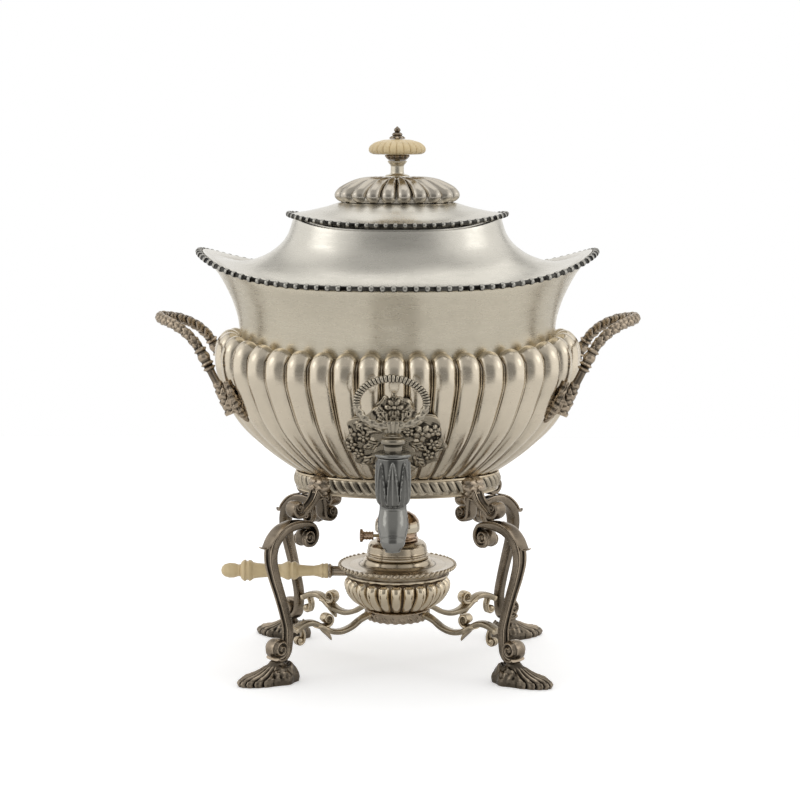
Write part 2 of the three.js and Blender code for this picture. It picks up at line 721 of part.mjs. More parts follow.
function burnerTray() {
  return turned(hollow([
    [24.6, 71.9], [43.2, 71.9], [44, 73.2], [43, 74.4], [39, 73.4], [27, 73.4], [25.6, 75.4], [23.8, 78.4],
    [19.4, 78.4], [19.4, 77],
  ]), 18);
}

function burnerDrum() {
  return turned(hollow([
    [18, 78.7], [23.4, 78.7], [23.5, 82.2], [22.4, 83], [22, 88], [18.6, 91], [13.2, 92],
    [13.2, 90.4], [18, 88.6],
  ]), 14);
}

function burnerNeck() {
  const collar = turned(hollow([
    [11.4, 92.3], [14.6, 92.3], [15.6, 93.6], [14.6, 95], [14.6, 99], [13, 99], [13, 94.6], [11.4, 94.6],
  ]), 12);
  const passage = new THREE.CylinderGeometry(1.7, 1.7, 20, 8);
  passage.rotateZ(Math.PI / 2);
  passage.translate(-16, SPINDLE_Y, SPINDLE_HEIGHT);
  return cut(collar, tidy(passage));
}

function wickTube() {
  return turned(hollow([[5.5, 62], [6.6, 62], [6.6, 88], [10.8, 88], [10.8, 89.6], [5.5, 89.6]]), 10);
}

function wick() {
  return turned([[0, 44], [WICK_RADIUS, 44], [WICK_RADIUS, 100], [4, 101], [0, 101]], 10);
}

function alongX(geometry, x, y, z) {
  geometry.rotateY(Math.PI / 2);
  return geometry.translate(x, y, z);
}

function wickSpindle() {
  const pinion = turned([
    [0, 0], [PINION_RADIUS, 0], [PINION_RADIUS, 4.4], [0, 4.4],
  ], 12, (radius, height, turn) => {
    const tooth = Math.round(turn * 12) % 2 === 0 ? 1 : 0.72;
    return round(radius * tooth, height, turn);
  });
  const rod = turned([[0, -23], [1.2, -23], [1.2, 5.6], [0, 5.6]], 8);
  return alongX(joined(pinion, rod), -2.2, SPINDLE_Y, SPINDLE_HEIGHT);
}

function wickKnob() {
  const knob = turned(hollow([
    [1.5, 0], [2.3, 0], [2.3, 6], [3, 8], [4.8, 9], [4.8, 10.2], [1.5, 10.2],
  ]), 10);
  knob.rotateY(-Math.PI / 2);
  return knob.translate(-17.6, SPINDLE_Y, SPINDLE_HEIGHT);
}

// The lug, its pin and the snuffer's ears are made to the right and turned to the back
function hingeLug() {
  const lug = new THREE.BoxGeometry(5.6, 3, 3.4).translate(17.6, 0, HINGE_Z - 0.7);
  const eye = new THREE.CylinderGeometry(2.2, 2.2, 3, 12).translate(HINGE_REACH, 0, HINGE_Z);
  const hole = new THREE.CylinderGeometry(1.05, 1.05, 8, 10).translate(HINGE_REACH, 0, HINGE_Z);
  const neck = turned([[0, 90], [14.95, 90], [15.9, 93.6], [14.95, 95], [14.95, 99], [0, 99]], 12);
  return cut(joined(tidy(lug), tidy(eye)), tidy(hole), neck).rotateZ(Math.PI / 2);
}

function hingePin() {
  const pin = new THREE.CylinderGeometry(0.8, 0.8, 9.4, 10).translate(HINGE_REACH, 0, HINGE_Z);
  return tidy(pin.rotateZ(Math.PI / 2));
}

function snufferCap() {
  const cap = turned(hollow([
    [15, 98.4], [16, 98.4], [17, 103.6], [15.4, 109], [10, 113], [0, 114.6],
    [0, 113.4], [9.4, 111.8], [15.6, 103.6],
  ]), 12);
  const ears = [-1, 1].map((side) => {
    const arm = new THREE.BoxGeometry(6, 1.4, 2.6).translate(18, side * 2.7, 100.2);
    const eye = new THREE.CylinderGeometry(2.2, 2.2, 1.4, 10).translate(HINGE_REACH, side * 2.7, HINGE_Z);
    const link = new THREE.BoxGeometry(2.2, 1.4, 5.4).translate(HINGE_REACH, side * 2.7, 98);
    return joined(tidy(arm), tidy(eye), tidy(link));
  });
  const hole = new THREE.CylinderGeometry(1.05, 1.05, 12, 10).translate(HINGE_REACH, 0, HINGE_Z);
  return cut(joined(cap, ...ears), tidy(hole)).rotateZ(Math.PI / 2);
}

// Burner handle
function handleTang() {
  const tang = turned([
    [0, 0], [2.6, 0], [2.6, 17], [5.5, 17], [5.5, 19], [3.7, 20.6], [3.7, 28], [0, 28],
  ], 10);
  tang.rotateY(Math.PI / 2);
  tang.translate(GRIP_START + JOINT_GAP - 17, 0, GRIP_HEIGHT);
  const bowl = turned([[0, 60], [39.6, 63], [42.35, 71.9], [0, 71.9]], LOBE_FACETS * BURNER_LOBES);
  return cut(tang, bowl);
}

function handleGrip() {
  const outside = [
    [0, 0], [3.6, 1.6], [5.7, 7], [5.2, 11], [4.6, 14], [7.6, 16], [8.3, 18], [7.4, 20], [8.1, 22],
    [6.3, 24.5], [4.9, 47], [7, 51], [7, 55], [4.4, 58], [3.4, 70], [5.6, 77], [5.6, 81],
  ].map(([radius, along]) => [radius, GRIP_END + along]);
  const bore = [[3, GRIP_START], [3, GRIP_START - GRIP_BORE], [0, GRIP_START - GRIP_BORE]];
  const grip = turned([...outside, ...bore], 8);
  grip.rotateY(Math.PI / 2);
  return grip.translate(0, 0, GRIP_HEIGHT);
}

// Assembly
const CORNERS = [
  ['front_right', 1, -1],
  ['back_right', 1, 1],
  ['front_left', -1, -1],
  ['back_left', -1, 1],
];
const ringClear = ringRoom();
const legShape = scrollLeg();
const footShape = shellFoot();
const stretcherShape = stretcher();
const bracketShape = cornerBracket();

function heading(angle, side, end) {
  return side > 0 ? end * angle : Math.PI - end * angle;
}

function atCorner(geometry, side, end) {
  const turn = heading(LEG_HEADING, side, end);
  return geometry.clone().rotateZ(turn).translate(side * LEG_FOOT_X, end * LEG_FOOT_Y, 0);
}

function underToe(geometry, side, end) {
  const x = LEG_FOOT_X + TOE[0] * Math.cos(LEG_HEADING);
  const y = LEG_FOOT_Y + TOE[0] * Math.sin(LEG_HEADING);
  return geometry.clone().rotateZ(heading(FOOT_HEADING, side, end)).translate(side * x, end * y, 0);
}

for (const [corner, side, end] of CORNERS) {
  add(`leg_${corner}`, atCorner(legShape, side, end), 'cast');
  add(`foot_${corner}`, underToe(footShape, side, end), 'cast');
  add(`bracket_${corner}`, cut(atCorner(bracketShape, side, end), ringClear), 'cast');
  const arm = stretcherShape.clone().rotateZ(heading(STRETCHER_HEADING, side, end));
  add(`stretcher_${corner}`, arm, 'cast');
}
add('stand_ring', standRing(), 'polished');
add('gadroon_border', gadroonBorder(), 'beading');
add('burner_ring', burnerRing(), 'cast');

add('urn_bowl', urnBowl(), 'lobed');
add('urn_neck', urnNeck(), 'polished');
add('urn_shoulder', urnShoulder(), 'polished');
add('rim_beading', rimBeading(), 'beading');
const handleShape = loopHandle();
add('handle_right', handleShape, 'cast');
add('handle_left', handleShape.clone().rotateZ(Math.PI), 'cast');
add('tap_escutcheon', tapEscutcheon(), 'cast');
add('tap_shank', tapShank(), 'tap');
add('tap_body', tapBody(), 'tap');
add('tap_cap', tapCap(), 'tap');
add('tap_plug', tapPlug(), 'tap');
add('tap_key', tapKey(), 'cast');

add('lid_cover', lidCover(), 'polished');
add('lid_beading', lidBeading(), 'beading');
add('lid_bezel', lidBezel(), 'polished');
add('lid_dome', lidDome(), 'lobed');
add('knob_stem', knobStem(), 'polished');
add('knob_collar', knobCollar(), 'cast');
add('knob_disc', knobDisc(), 'ivory');
add('knob_finial', knobFinial(), 'beading');
add('knob_bolt', knobBolt(), 'brass');

add('burner_bowl', burnerBowl(), 'lobed');
add('burner_tray', burnerTray(), 'polished');
add('burner_drum', burnerDrum(), 'polished');
add('burner_neck', burnerNeck(), 'copper');
add('wick_tube', wickTube(), 'brass');
add('wick', wick(), 'cotton');
add('wick_spindle', wickSpindle(), 'brass');
add('wick_knob', wickKnob(), 'copper');
add('hinge_lug', hingeLug(), 'copper');
add('hinge_pin', hingePin(), 'brass');
add('snuffer_cap', snufferCap(), 'copper');
add('handle_tang', handleTang(), 'cast');
add('handle_grip', handleGrip(), 'ivory');

export default urn;
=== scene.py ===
"""Dresses a packed tea kettle: silver skins, cast ornament, ivory and copper, in a plain studio."""

import math

import bpy
import numpy as np
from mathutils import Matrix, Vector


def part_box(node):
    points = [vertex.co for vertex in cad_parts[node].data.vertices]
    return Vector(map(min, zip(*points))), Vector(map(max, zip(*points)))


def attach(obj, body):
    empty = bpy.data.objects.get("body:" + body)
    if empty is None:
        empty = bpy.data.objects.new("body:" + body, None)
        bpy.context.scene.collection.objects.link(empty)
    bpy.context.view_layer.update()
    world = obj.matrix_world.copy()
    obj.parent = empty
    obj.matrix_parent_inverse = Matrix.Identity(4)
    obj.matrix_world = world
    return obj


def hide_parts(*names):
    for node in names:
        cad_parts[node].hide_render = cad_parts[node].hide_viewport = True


bl_info = {
    "name": "Tea kettle on its stand",
    "version": (1, 0, 0),
    "blender": (4, 5, 0),
    "location": "3D View > Sidebar > Kettle",
    "description": "Builds the visible pieces of an oval lobed tea kettle, its stand and its burner",
    "category": "Add Mesh",
}

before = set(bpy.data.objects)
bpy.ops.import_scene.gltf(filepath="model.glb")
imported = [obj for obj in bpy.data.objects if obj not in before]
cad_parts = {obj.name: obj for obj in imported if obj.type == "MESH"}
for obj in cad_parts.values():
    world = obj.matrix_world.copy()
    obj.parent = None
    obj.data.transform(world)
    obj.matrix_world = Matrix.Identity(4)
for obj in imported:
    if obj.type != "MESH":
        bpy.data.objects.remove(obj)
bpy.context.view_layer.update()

# Shapes are worked out in millimetres round the urn's own axis, and moved to the frame at the end
MM = 0.001
WICK_LOW, WICK_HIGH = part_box("wick")
AXIS = np.array([0.0, (WICK_LOW.y + WICK_HIGH.y) / 2, 0.0])

# Depth over width of the urn and of its foot, and the heights between which one becomes the other
BODY_RATIO, FOOT_RATIO, RATIO_HEIGHTS = 0.73, 0.66, (147, 205)
# How much lower the bowl's top is at its front and back, and the heights where that begins and ends
FRONT_DIP, DIP_HEIGHTS = 8, (195, 250)
# The thickness of the raised sheet
SHEET = 1.2
# Where the legs hang on the ring, and the directions of legs, feet and stretchers in degrees
CORNER_AT = np.array([57.0, 35.5])
LEG_HEADING, FOOT_HEADING, ARM_HEADING = 46.0, 31.0, 35.9
# The middle of a leg's rolled toe, outwards from where the leg hangs and above the floor
TOE = (42.0, 24.7)
# The corners, with 1 for the right and -1 for the left, and then 1 for the back and -1 for the front
CORNERS = (
    ("front_right", 1, -1),
    ("back_right", 1, 1),
    ("front_left", -1, -1),
    ("back_left", -1, 1),
)


# Curves and grids


def mix(a, b, share):
    """The value a share of the way from a to b."""
    return a + (b - a) * share


def smooth(x, low, high):
    """0 below low and 1 above high, with the cubic 3t^2 - 2t^3 between them."""
    t = np.clip((x - low) / (high - low), 0, 1)
    return t * t * (3 - 2 * t)


def stack(x, y, z):
    """Points from their three coordinates, each an array or one number."""
    return np.stack(np.broadcast_arrays(x, y, z), axis=-1).astype(float)


def even(fine, count):
    """Points at even lengths along a fine line."""
    steps = np.linalg.norm(np.diff(fine, axis=0), axis=1)
    along = np.concatenate([[0], np.cumsum(steps)])
    at = np.linspace(0, along[-1], count)
    return np.stack([np.interp(at, along, column) for column in fine.T], axis=1)


def curve(points, count):
    """A Catmull-Rom curve: between b and c, with neighbours a and d, the point at t is
    (2b + (c - a)t + (2a - 5b + 4c - d)t^2 + (3b - a - 3c + d)t^3) / 2."""
    p = np.asarray(points, float)
    p = np.vstack([2 * p[0] - p[1], p, 2 * p[-1] - p[-2]])
    t = np.linspace(0, len(p) - 3, 24 * len(p))
    i = np.minimum(t.astype(int), len(p) - 4)
    t = (t - i)[:, None]
    a, b, c, d = p[i], p[i + 1], p[i + 2], p[i + 3]
    bend = (2 * a - 5 * b + 4 * c - d) * t**2 + (3 * b - a - 3 * c + d) * t**3
    return even((2 * b + (c - a) * t + bend) / 2, count)


def moulding(points, count, soft=0.5):
    """A turner's profile: straight runs whose corners are rounded by a moving average."""
    fine = even(np.asarray(points, float), 60 * len(points))
    length = np.linalg.norm(np.diff(fine, axis=0), axis=1).sum()
    half = max(1, int(soft / length * len(fine)))
    head = 2 * fine[0] - fine[half:0:-1]
    tail = 2 * fine[-1] - fine[-2:-half - 2:-1]
    padded = np.vstack([head, fine, tail])
    window = np.ones(2 * half + 1) / (2 * half + 1)
    rounded = [np.convolve(column, window, "valid") for column in padded.T]
    return even(np.stack(rounded, axis=1), count)


def scroll(centre, radii, angles, count):
    """Points of a spiral whose radius and angle, in degrees, both change evenly."""
    share = np.linspace(0, 1, count)
    angle = np.radians(mix(angles[0], angles[1], share))
    radius = mix(radii[0], radii[1], share)
    return np.stack(
        [centre[0] + radius * np.cos(angle), centre[1] + radius * np.sin(angle)], axis=1
    )


def upright(points, count):
    """A curve through [x, z] points of the plane y = 0."""
    x, z = curve(points, count).T
    return stack(x, 0 * x, z)


def turns(columns):
    """Even shares of a whole turn, the last just short of the first."""
    return np.arange(columns) / columns


def circle(radius, height, turn):
    """A point at a share of the way round from the front."""
    angle = 2 * np.pi * turn
    return stack(radius * np.sin(angle), -radius * np.cos(angle), height)


def revolve(profile, columns, place=circle):
    """Carries a [radius, height] profile round the axis."""
    return place(profile[:, 0:1], profile[:, 1:2], turns(columns)[None, :])


def turned(points, count, soft, columns, place=circle):
    """A turner's moulding carried round the axis."""
    return revolve(moulding(points, count, soft), columns, place)


def sweep(path, across, section, wide, thick):
    """Carries a section of [across, out] shares along a path. The second direction is square to
    the path and to across; wide and thick are the half-sizes at each point of the path."""
    along = np.gradient(path, axis=0)
    along /= np.linalg.norm(along, axis=1)[:, None]
    side = across - along * (along @ across)[:, None]
    side /= np.linalg.norm(side, axis=1)[:, None]
    out = np.cross(side, along)
    section = np.broadcast_to(section, (len(path),) + section.shape[-2:])
    wide = np.broadcast_to(wide, len(path))[:, None, None]
    thick = np.broadcast_to(thick, len(path))[:, None, None]
    return (
        path[:, None, :]
        + section[..., 0:1] * wide * side[:, None, :]
        + section[..., 1:2] * thick * out[:, None, :]
    )


def ring_section(sides, square=1.0):
    """A closed outline whose cosine and sine are raised to a power: 1 is round, less is squarer."""
    angle = 2 * np.pi * turns(sides)
    c, s = np.cos(angle), np.sin(angle)
    return np.stack([np.sign(c) * np.abs(c) ** square, np.sign(s) * np.abs(s) ** square], axis=1)


def fluted_section(sides, ridges, depth):
    """A bar's section with raised ridges along its outer face."""
    outline = ring_section(sides, 0.72)
    face = smooth(outline[:, 1], 0.1, 0.9)
    groove = 0.5 - 0.5 * np.cos(2 * np.pi * ridges * (outline[:, 0] + 1) / 2)
    outline[:, 1] -= depth * face * (1 - groove)
    return outline


def channel_section(sides, depth):
    """A bar's section whose outer face is hollow between two pairs of thin ridges."""
    outline = ring_section(sides, 0.62)
    side = np.abs(outline[:, 0])
    face = smooth(outline[:, 1], 0.1, 0.7)
    ridges = smooth(side, 0.4, 0.58) - 0.65 * np.exp(-(((side - 0.74) / 0.06) ** 2))
    outline[:, 1] -= depth * face * (1 - ridges)
    return outline


# The oval and its parts

OVAL_STEPS = np.linspace(0, 2 * np.pi, 1441)
OVAL_PACE = np.hypot(np.cos(OVAL_STEPS), BODY_RATIO * np.sin(OVAL_STEPS))
OVAL_LENGTH = np.concatenate([[0], np.cumsum((OVAL_PACE[1:] + OVAL_PACE[:-1]) / 2)])


def oval_angle(turn):
    """The angle at an even share of the way round the oval, so that lobes and beads are equal."""
    whole = np.floor(turn)
    angle = np.interp((turn - whole) * OVAL_LENGTH[-1], OVAL_LENGTH, OVAL_STEPS)
    return angle + 2 * np.pi * whole


def saddle(angle, power=4.0):
    """The rims rise towards the two ends of the oval, as a power of the sine."""
    return np.abs(np.sin(angle)) ** power


def bowl_ratio(height):
    """The bowl's depth as a share of its width, from the foot's to the body's."""
    return mix(FOOT_RATIO, BODY_RATIO, smooth(height, *RATIO_HEIGHTS))


def bowl_place(radius, height, turn):
    """The bowl's oval narrows to the foot's, and its top dips at the front and back."""
    angle = oval_angle(turn)
    drop = FRONT_DIP * (1 - saddle(angle)) * smooth(height, *DIP_HEIGHTS)
    return stack(radius * np.sin(angle), -radius * bowl_ratio(height) * np.cos(angle), height - drop)


def foot_place(radius, height, turn):
    """The narrower oval of the ring that the urn stands on."""
    angle = oval_angle(turn)
    return stack(radius * np.sin(angle), -radius * FOOT_RATIO * np.cos(angle), height)


def sheet_loop(profile, thickness):
    """A sheet's closed outline: its outer side, and back along its inner side."""
    along = np.gradient(profile, axis=0)
    along /= np.linalg.norm(along, axis=1)[:, None]
    inner = profile + thickness * np.stack([-along[:, 1], along[:, 0]], axis=1)
    return np.vstack([profile, inner[::-1]])


def saddle_sheet(ends, fronts, rows, columns, thickness=SHEET, power=4.0):
    """A grid of an oval sheet between its profile at the ends and its profile at the front;
    between them the height follows saddle, and the radii those of an ellipse."""
    ends = sheet_loop(curve(ends, rows), thickness)
    fronts = sheet_loop(curve(fronts, rows), thickness)
    angle = oval_angle(turns(columns))[None, :]
    x = ends[:, 0:1] * np.sin(angle)
    y = -fronts[:, 0:1] * np.cos(angle)
    return stack(x, y, mix(fronts[:, 1:2], ends[:, 1:2], saddle(angle, power)))


def lobe_columns(count, each, at_front=True):
    """Columns crowded towards the grooves. Gives the turn of each, and its place across its lobe
    from -1 to 1. A lobe's crest is at the front, or else a groove."""
    across = np.sin(np.pi * (np.arange(each) / each - 0.5))
    first = 0 if at_front else 0.5
    turn = (np.arange(count)[:, None] + first + across[None, :] / 2) / count
    return turn.ravel(), np.tile(across, count)


def lobe_swell(across, end, wide=0.9):
    """A lobe's height: a superellipse across it, which also closes it round at its end."""
    inside = 1 - np.abs(across / wide) ** 2.1 - end**2.1
    return np.clip(inside, 0, None) ** 0.58


# Meshes


def shell(grid, ring=False, shade_and_stain=None):
    """A closed skin over a grid whose last column meets its first. The rows meet too in a ring;
    otherwise each end closes to its middle point. The shade given, painted shade on the beads, their wire
    and the key ring, a stain on the bowl and a darker frieze on the burner, is added to the hollow depth
    there."""
    rows, columns = grid.shape[:2]
    points = grid.reshape(-1, 3)
    index = np.arange(rows * columns).reshape(rows, columns)
    low, high = (index, np.roll(index, -1, axis=0)) if ring else (index[:-1], index[1:])
    quads = np.stack([low, np.roll(low, -1, 1), np.roll(high, -1, 1), high], -1).reshape(-1, 4)
    triangles = np.zeros((0, 3), int)
    shade_and_stain = np.broadcast_to(0.0 if shade_and_stain is None else shade_and_stain, (rows, columns)).ravel()
    if not ring:
        middles = np.stack([grid[0].mean(0), grid[-1].mean(0)])
        shade_and_stain = np.append(shade_and_stain, [shade_and_stain[0], shade_and_stain[-1]])
        first, last = index[0], index[-1]
        under = np.stack([first, np.full(columns, len(points)), np.roll(first, -1)], -1)
        over = np.stack([last, np.roll(last, -1), np.full(columns, len(points) + 1)], -1)
        triangles = np.vstack([under, over])
        points = np.vstack([points, middles])
    return outward(points, quads, triangles, shade_and_stain)


def outward(points, quads, triangles, shade_and_stain):
    """Turns the faces round if the space that they enclose comes out negative."""
    corners = np.vstack([quads[:, :3], quads[:, [0, 2, 3]], triangles])
    a, b, c = points[corners[:, 0]], points[corners[:, 1]], points[corners[:, 2]]
    if np.einsum("ij,ij->", a - points.mean(0), np.cross(b - a, c - a)) < 0:
        quads, triangles = quads[:, ::-1], triangles[:, ::-1]
    return points, quads, triangles, shade_and_stain


def moved(one, matrix, offset=(0, 0, 0)):
    """A shell turned by a matrix whose columns are its new X, Y and Z, and then shifted."""
    points, quads, triangles, shade_and_stain = one
    return outward(points @ np.asarray(matrix, float).T + offset, quads, triangles, shade_and_stain)


def copies(one, centres, frames):
    """One shell at many places. A frame's rows are the directions of the shell's X, Y and Z."""
    points, quads, triangles, shade_and_stain = one
    count = len(centres)
    placed = np.einsum("vk,nkj->nvj", points, frames) + centres[:, None, :]
    shift = (np.arange(count) * len(points))[:, None, None]
    every = (placed.reshape(-1, 3), (quads + shift).reshape(-1, 4))
    return outward(*every, (triangles + shift).reshape(-1, 3), np.tile(shade_and_stain, count))


def turned_z(degrees):
    """The matrix of a turn about the upright axis."""
    c, s = math.cos(math.radians(degrees)), math.sin(math.radians(degrees))
    return np.array([[c, -s, 0], [s, c, 0], [0, 0, 1]])


# Matrices that lay an upright piece down along X and along Y
LYING_X = np.array([[0, 0, 1], [0, 1, 0], [-1, 0, 0]], float)
LYING_Y = np.array([[1, 0, 0], [0, 0, 1], [0, -1, 0]], float)


def hollow_depth(mesh, rounds):
    """How far each point lies below its surroundings, in millimetres: its neighbours' places
    are averaged several times, and the step to that average is measured along the normal.
    The finishes darken hollows by it, with tarnish and painted shade, and brighten edges, with
    wear and a painted highlight."""
    count = len(mesh.vertices)
    place = np.empty(3 * count, np.float32)
    mesh.vertices.foreach_get("co", place)
    place = place.reshape(-1, 3).astype(float)
    ends = np.empty(2 * len(mesh.edges), np.int32)
    mesh.edges.foreach_get("vertices", ends)
    a, b = ends.reshape(-1, 2).T
    around = np.bincount(a, minlength=count) + np.bincount(b, minlength=count)
    level = place.copy()
    for _ in range(rounds):
        columns = [
            np.bincount(a, column[b], count) + np.bincount(b, column[a], count)
            for column in level.T
        ]
        level = np.stack(columns, axis=1) / around[:, None]
    normal = np.empty(3 * count, np.float32)
    mesh.vertex_normals.foreach_get("vector", normal)
    return ((level - place) * normal.reshape(-1, 3)).sum(1) / MM


def add_object(name, data):
    """Puts a mesh, a lamp or a camera into the scene as an object."""
    made = bpy.data.objects.new(name, data)
    bpy.context.scene.collection.objects.link(made)
    return made


def piece(name, shells, body, nodes, slot, finish, rounds=8, sharp=42):
    """Makes one object of some shells, with the hollow depth and the shells' shade stored for
    tarnish, wear and painted light, and gives it its body and finish. Edges bent by more than
    sharp degrees stay sharp."""
    vertices, faces, shades_and_stains, start = [], [], [], 0
    for points, quads, triangles, shade_and_stain in shells:
        vertices.append(points)
        faces += (quads + start).tolist() + (triangles + start).tolist()
        shades_and_stains.append(shade_and_stain)
        start += len(points)
    mesh = bpy.data.meshes.new(name)
    mesh.from_pydata(np.concatenate(vertices) * MM + AXIS, [], faces)
    mesh.update()
    mesh.shade_smooth()
    mesh.set_sharp_from_angle(angle=math.radians(sharp))
    depth = hollow_depth(mesh, rounds) + np.concatenate(shades_and_stains)
    attribute = mesh.attributes.new("patina_and_painted_light", "FLOAT", "POINT")
    attribute.data.foreach_set("value", depth.astype(np.float32))
    mesh.materials.append(finish)
    made = add_object(name, mesh)
    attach(made, body)
    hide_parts(*nodes)


def dress(body, *rows):
    """Makes the pieces of one body. A row holds a piece's name, its shells, the node that it
    stands for, its slot, which is not used, its look and, where they differ, piece's rounds and sharp."""
    for name, shells, node, slot, look, *more in rows:
        piece(name, shells, body, [node], slot, finish(look), *more)


# Finishes


class Nodes:
    """A short way to write the nodes of a material or a world."""

    def __init__(self, owner, coordinates="Object"):
        """owner is the material or world, and coordinates the kind of place its nodes read."""
        owner.use_nodes = True
        self.owner = owner
        self.tree = owner.node_tree
        self.surface = self.tree.nodes.get("Principled BSDF")
        self.where = self.add("ShaderNodeTexCoord").outputs[coordinates]

    def add(self, kind, **settings):
        """A new node of a kind, with its settings."""
        node = self.tree.nodes.new(kind)
        for key, value in settings.items():
            setattr(node, key, value)
        return node

    def link(self, value, socket):
        """Joins another node's socket to this one, or gives it a constant."""
        if isinstance(value, bpy.types.NodeSocket):
            self.tree.links.new(value, socket)
        else:
            socket.default_value = value

    def mapped(self, key, values):
        """The place with its Scale or its Rotation changed."""
        mapping = self.add("ShaderNodeMapping")
        self.link(self.where, mapping.inputs["Vector"])
        mapping.inputs[key].default_value = values
        return mapping.outputs["Vector"]

    def part(self, axis):
        """The X, Y or Z of the place."""
        split = self.add("ShaderNodeSeparateXYZ")
        self.link(self.where, split.inputs["Vector"])
        return split.outputs[axis]

    def noise(self, scale, detail=3.0, rough=0.55, vector=None):
        """Cloudy values from 0 to 1; a larger scale makes them finer."""
        node = self.add("ShaderNodeTexNoise")
        self.link(vector or self.where, node.inputs["Vector"])
        node.inputs["Scale"].default_value = scale
        node.inputs["Detail"].default_value = detail
        node.inputs["Roughness"].default_value = rough
        return node.outputs["Fac"]

    def spread(self, value, low, high, to_low=0.0, to_high=1.0):
        """Carries low and high to to_low and to_high, with a smooth step between them."""
        node = self.add("ShaderNodeMapRange", interpolation_type="SMOOTHSTEP")
        for key, number in zip(
            ("Value", "From Min", "From Max", "To Min", "To Max"),
            (value, low, high, to_low, to_high),
        ):
            self.link(number, node.inputs[key])
        return node.outputs["Result"]

    def blend(self, share, a, b):
        """The colour a share of the way from a to b."""
        node = self.add("ShaderNodeMix", data_type="RGBA")
        self.link(share, node.inputs["Factor"])
        self.link(a, node.inputs["A"])
        self.link(b, node.inputs["B"])
        return node.outputs["Result"]

    def math(self, operation, a, b=0.0, c=0.0):
        """One step of arithmetic on sockets or constants."""
        node = self.add("ShaderNodeMath", operation=operation)
        for value, socket in zip((a, b, c), node.inputs):
            self.link(value, socket)
        return node.outputs[0]

    def patina_and_painted_light(self):
        """The depth that piece stored at each point of the mesh, in millimetres, with the shells' shade
        added; it drives tarnish with painted shade, and wear with a painted highlight.
        """
        return self.add("ShaderNodeAttribute", attribute_name="patina_and_painted_light").outputs["Fac"]

    def relief(self, height, distance, strength=0.5):
        """Fine unevenness whose full height is distance, in metres."""
        bump = self.add("ShaderNodeBump")
        bump.inputs["Strength"].default_value = strength
        bump.inputs["Distance"].default_value = distance
        self.link(height, bump.inputs["Height"])
        self.link(bump.outputs["Normal"], self.surface.inputs["Normal"])

    def finish(self, colour, roughness, metallic):
        """Sets the surface and gives back the material."""
        self.link(colour, self.surface.inputs["Base Color"])
        self.link(roughness, self.surface.inputs["Roughness"])
        self.surface.inputs["Metallic"].default_value = metallic
        return self.owner


def material_nodes(name):
    """The nodes of a new material."""
    return Nodes(bpy.data.materials.new(name))


def rgba(colour):
    """A colour with full opacity."""
    return (*colour, 1.0)


def shade_of(colour, factor):
    """The colour made darker or brighter by a factor."""
    return rgba([min(1.0, channel * factor) for channel in colour])


def metal(name, bright, dark, rough, low=0.02, high=0.35, cloud=0.35, wear_and_highlight=1.12, cap=None):
    """Silver or copper, darker in its hollows with tarnish and painted shade, and brighter on its
    edges with rubbed wear and a painted highlight. low and high are the hollow depths, in
    millimetres, where the dark begins and is full. cap is a height, in metres, and the tone above it."""
    n = material_nodes(name)
    clouds = n.spread(n.noise(26.0, 5.0), 0.35, 0.68)
    spots = n.spread(n.noise(190.0, 4.0, 0.62), 0.5, 0.78)
    clouded, spotted = shade_of(bright, 0.9 - 0.4 * cloud), shade_of(bright, 0.8 - 0.5 * cloud)
    base = n.blend(n.math("MULTIPLY", clouds, cloud), rgba(bright), clouded)
    base = n.blend(n.math("MULTIPLY", spots, cloud * 0.6), base, spotted)
    if cap:
        wavy = n.math("MULTIPLY_ADD", n.noise(80.0), 0.003, n.part("Z"))
        base = n.blend(n.spread(wavy, cap[0], cap[0] + 0.002), base, rgba(cap[1]))
    # Tarnish and painted shade: the hollows and the shells' shade turn towards the dark tone
    hollow = n.spread(n.patina_and_painted_light(), low, high)
    breakup = n.spread(n.noise(110.0, 4.0), 0.3, 0.62, 0.72, 1.0)
    base = n.blend(n.math("MULTIPLY", hollow, breakup), base, rgba(dark))
    # Rubbed wear and a painted highlight: convex edges turn towards a brighter tone
    edge = n.spread(n.patina_and_painted_light(), -low * 3 - 0.04, -high, 0.0, 0.5)
    base = n.blend(edge, base, shade_of(bright, wear_and_highlight))
    streaks = n.noise(60.0, 4.0, 0.6, n.mapped("Scale", (1.0, 1.0, 7.0)))
    roughness = n.math("MULTIPLY_ADD", n.spread(streaks, 0.3, 0.7), 0.09, rough)
    roughness = n.math("MULTIPLY_ADD", hollow, 0.22, roughness)
    n.relief(n.noise(340.0, 3.0, 0.6), 0.00006, 0.35)
    return n.finish(base, roughness, 1.0)


def ivory(name, bright, dark):
    """Old ivory: fine grain along the piece, with painted shade that makes its turned lines darker and
    warmer.
    """
    n = material_nodes(name)
    grain = n.spread(n.noise(240.0, 4.0, 0.6, n.mapped("Scale", (0.16, 1.0, 1.0))), 0.32, 0.7)
    clouds = n.spread(n.noise(55.0, 3.0), 0.35, 0.7)
    base = n.blend(n.math("MULTIPLY", grain, 0.35), rgba(bright), shade_of(bright, 0.82))
    base = n.blend(n.math("MULTIPLY", clouds, 0.4), base, shade_of(bright, 1.12))
    # Painted shade: the hollows turn towards the dark tone
    hollow = n.spread(n.patina_and_painted_light(), 0.01, 0.11)
    base = n.blend(n.math("MULTIPLY", hollow, 0.75), base, rgba(dark))
    n.relief(grain, 0.00005, 0.4)
    n.surface.inputs["Coat Weight"].default_value = 0.25
    n.surface.inputs["Coat Roughness"].default_value = 0.25
    return n.finish(base, n.spread(clouds, 0, 1, 0.36, 0.5), 0.0)


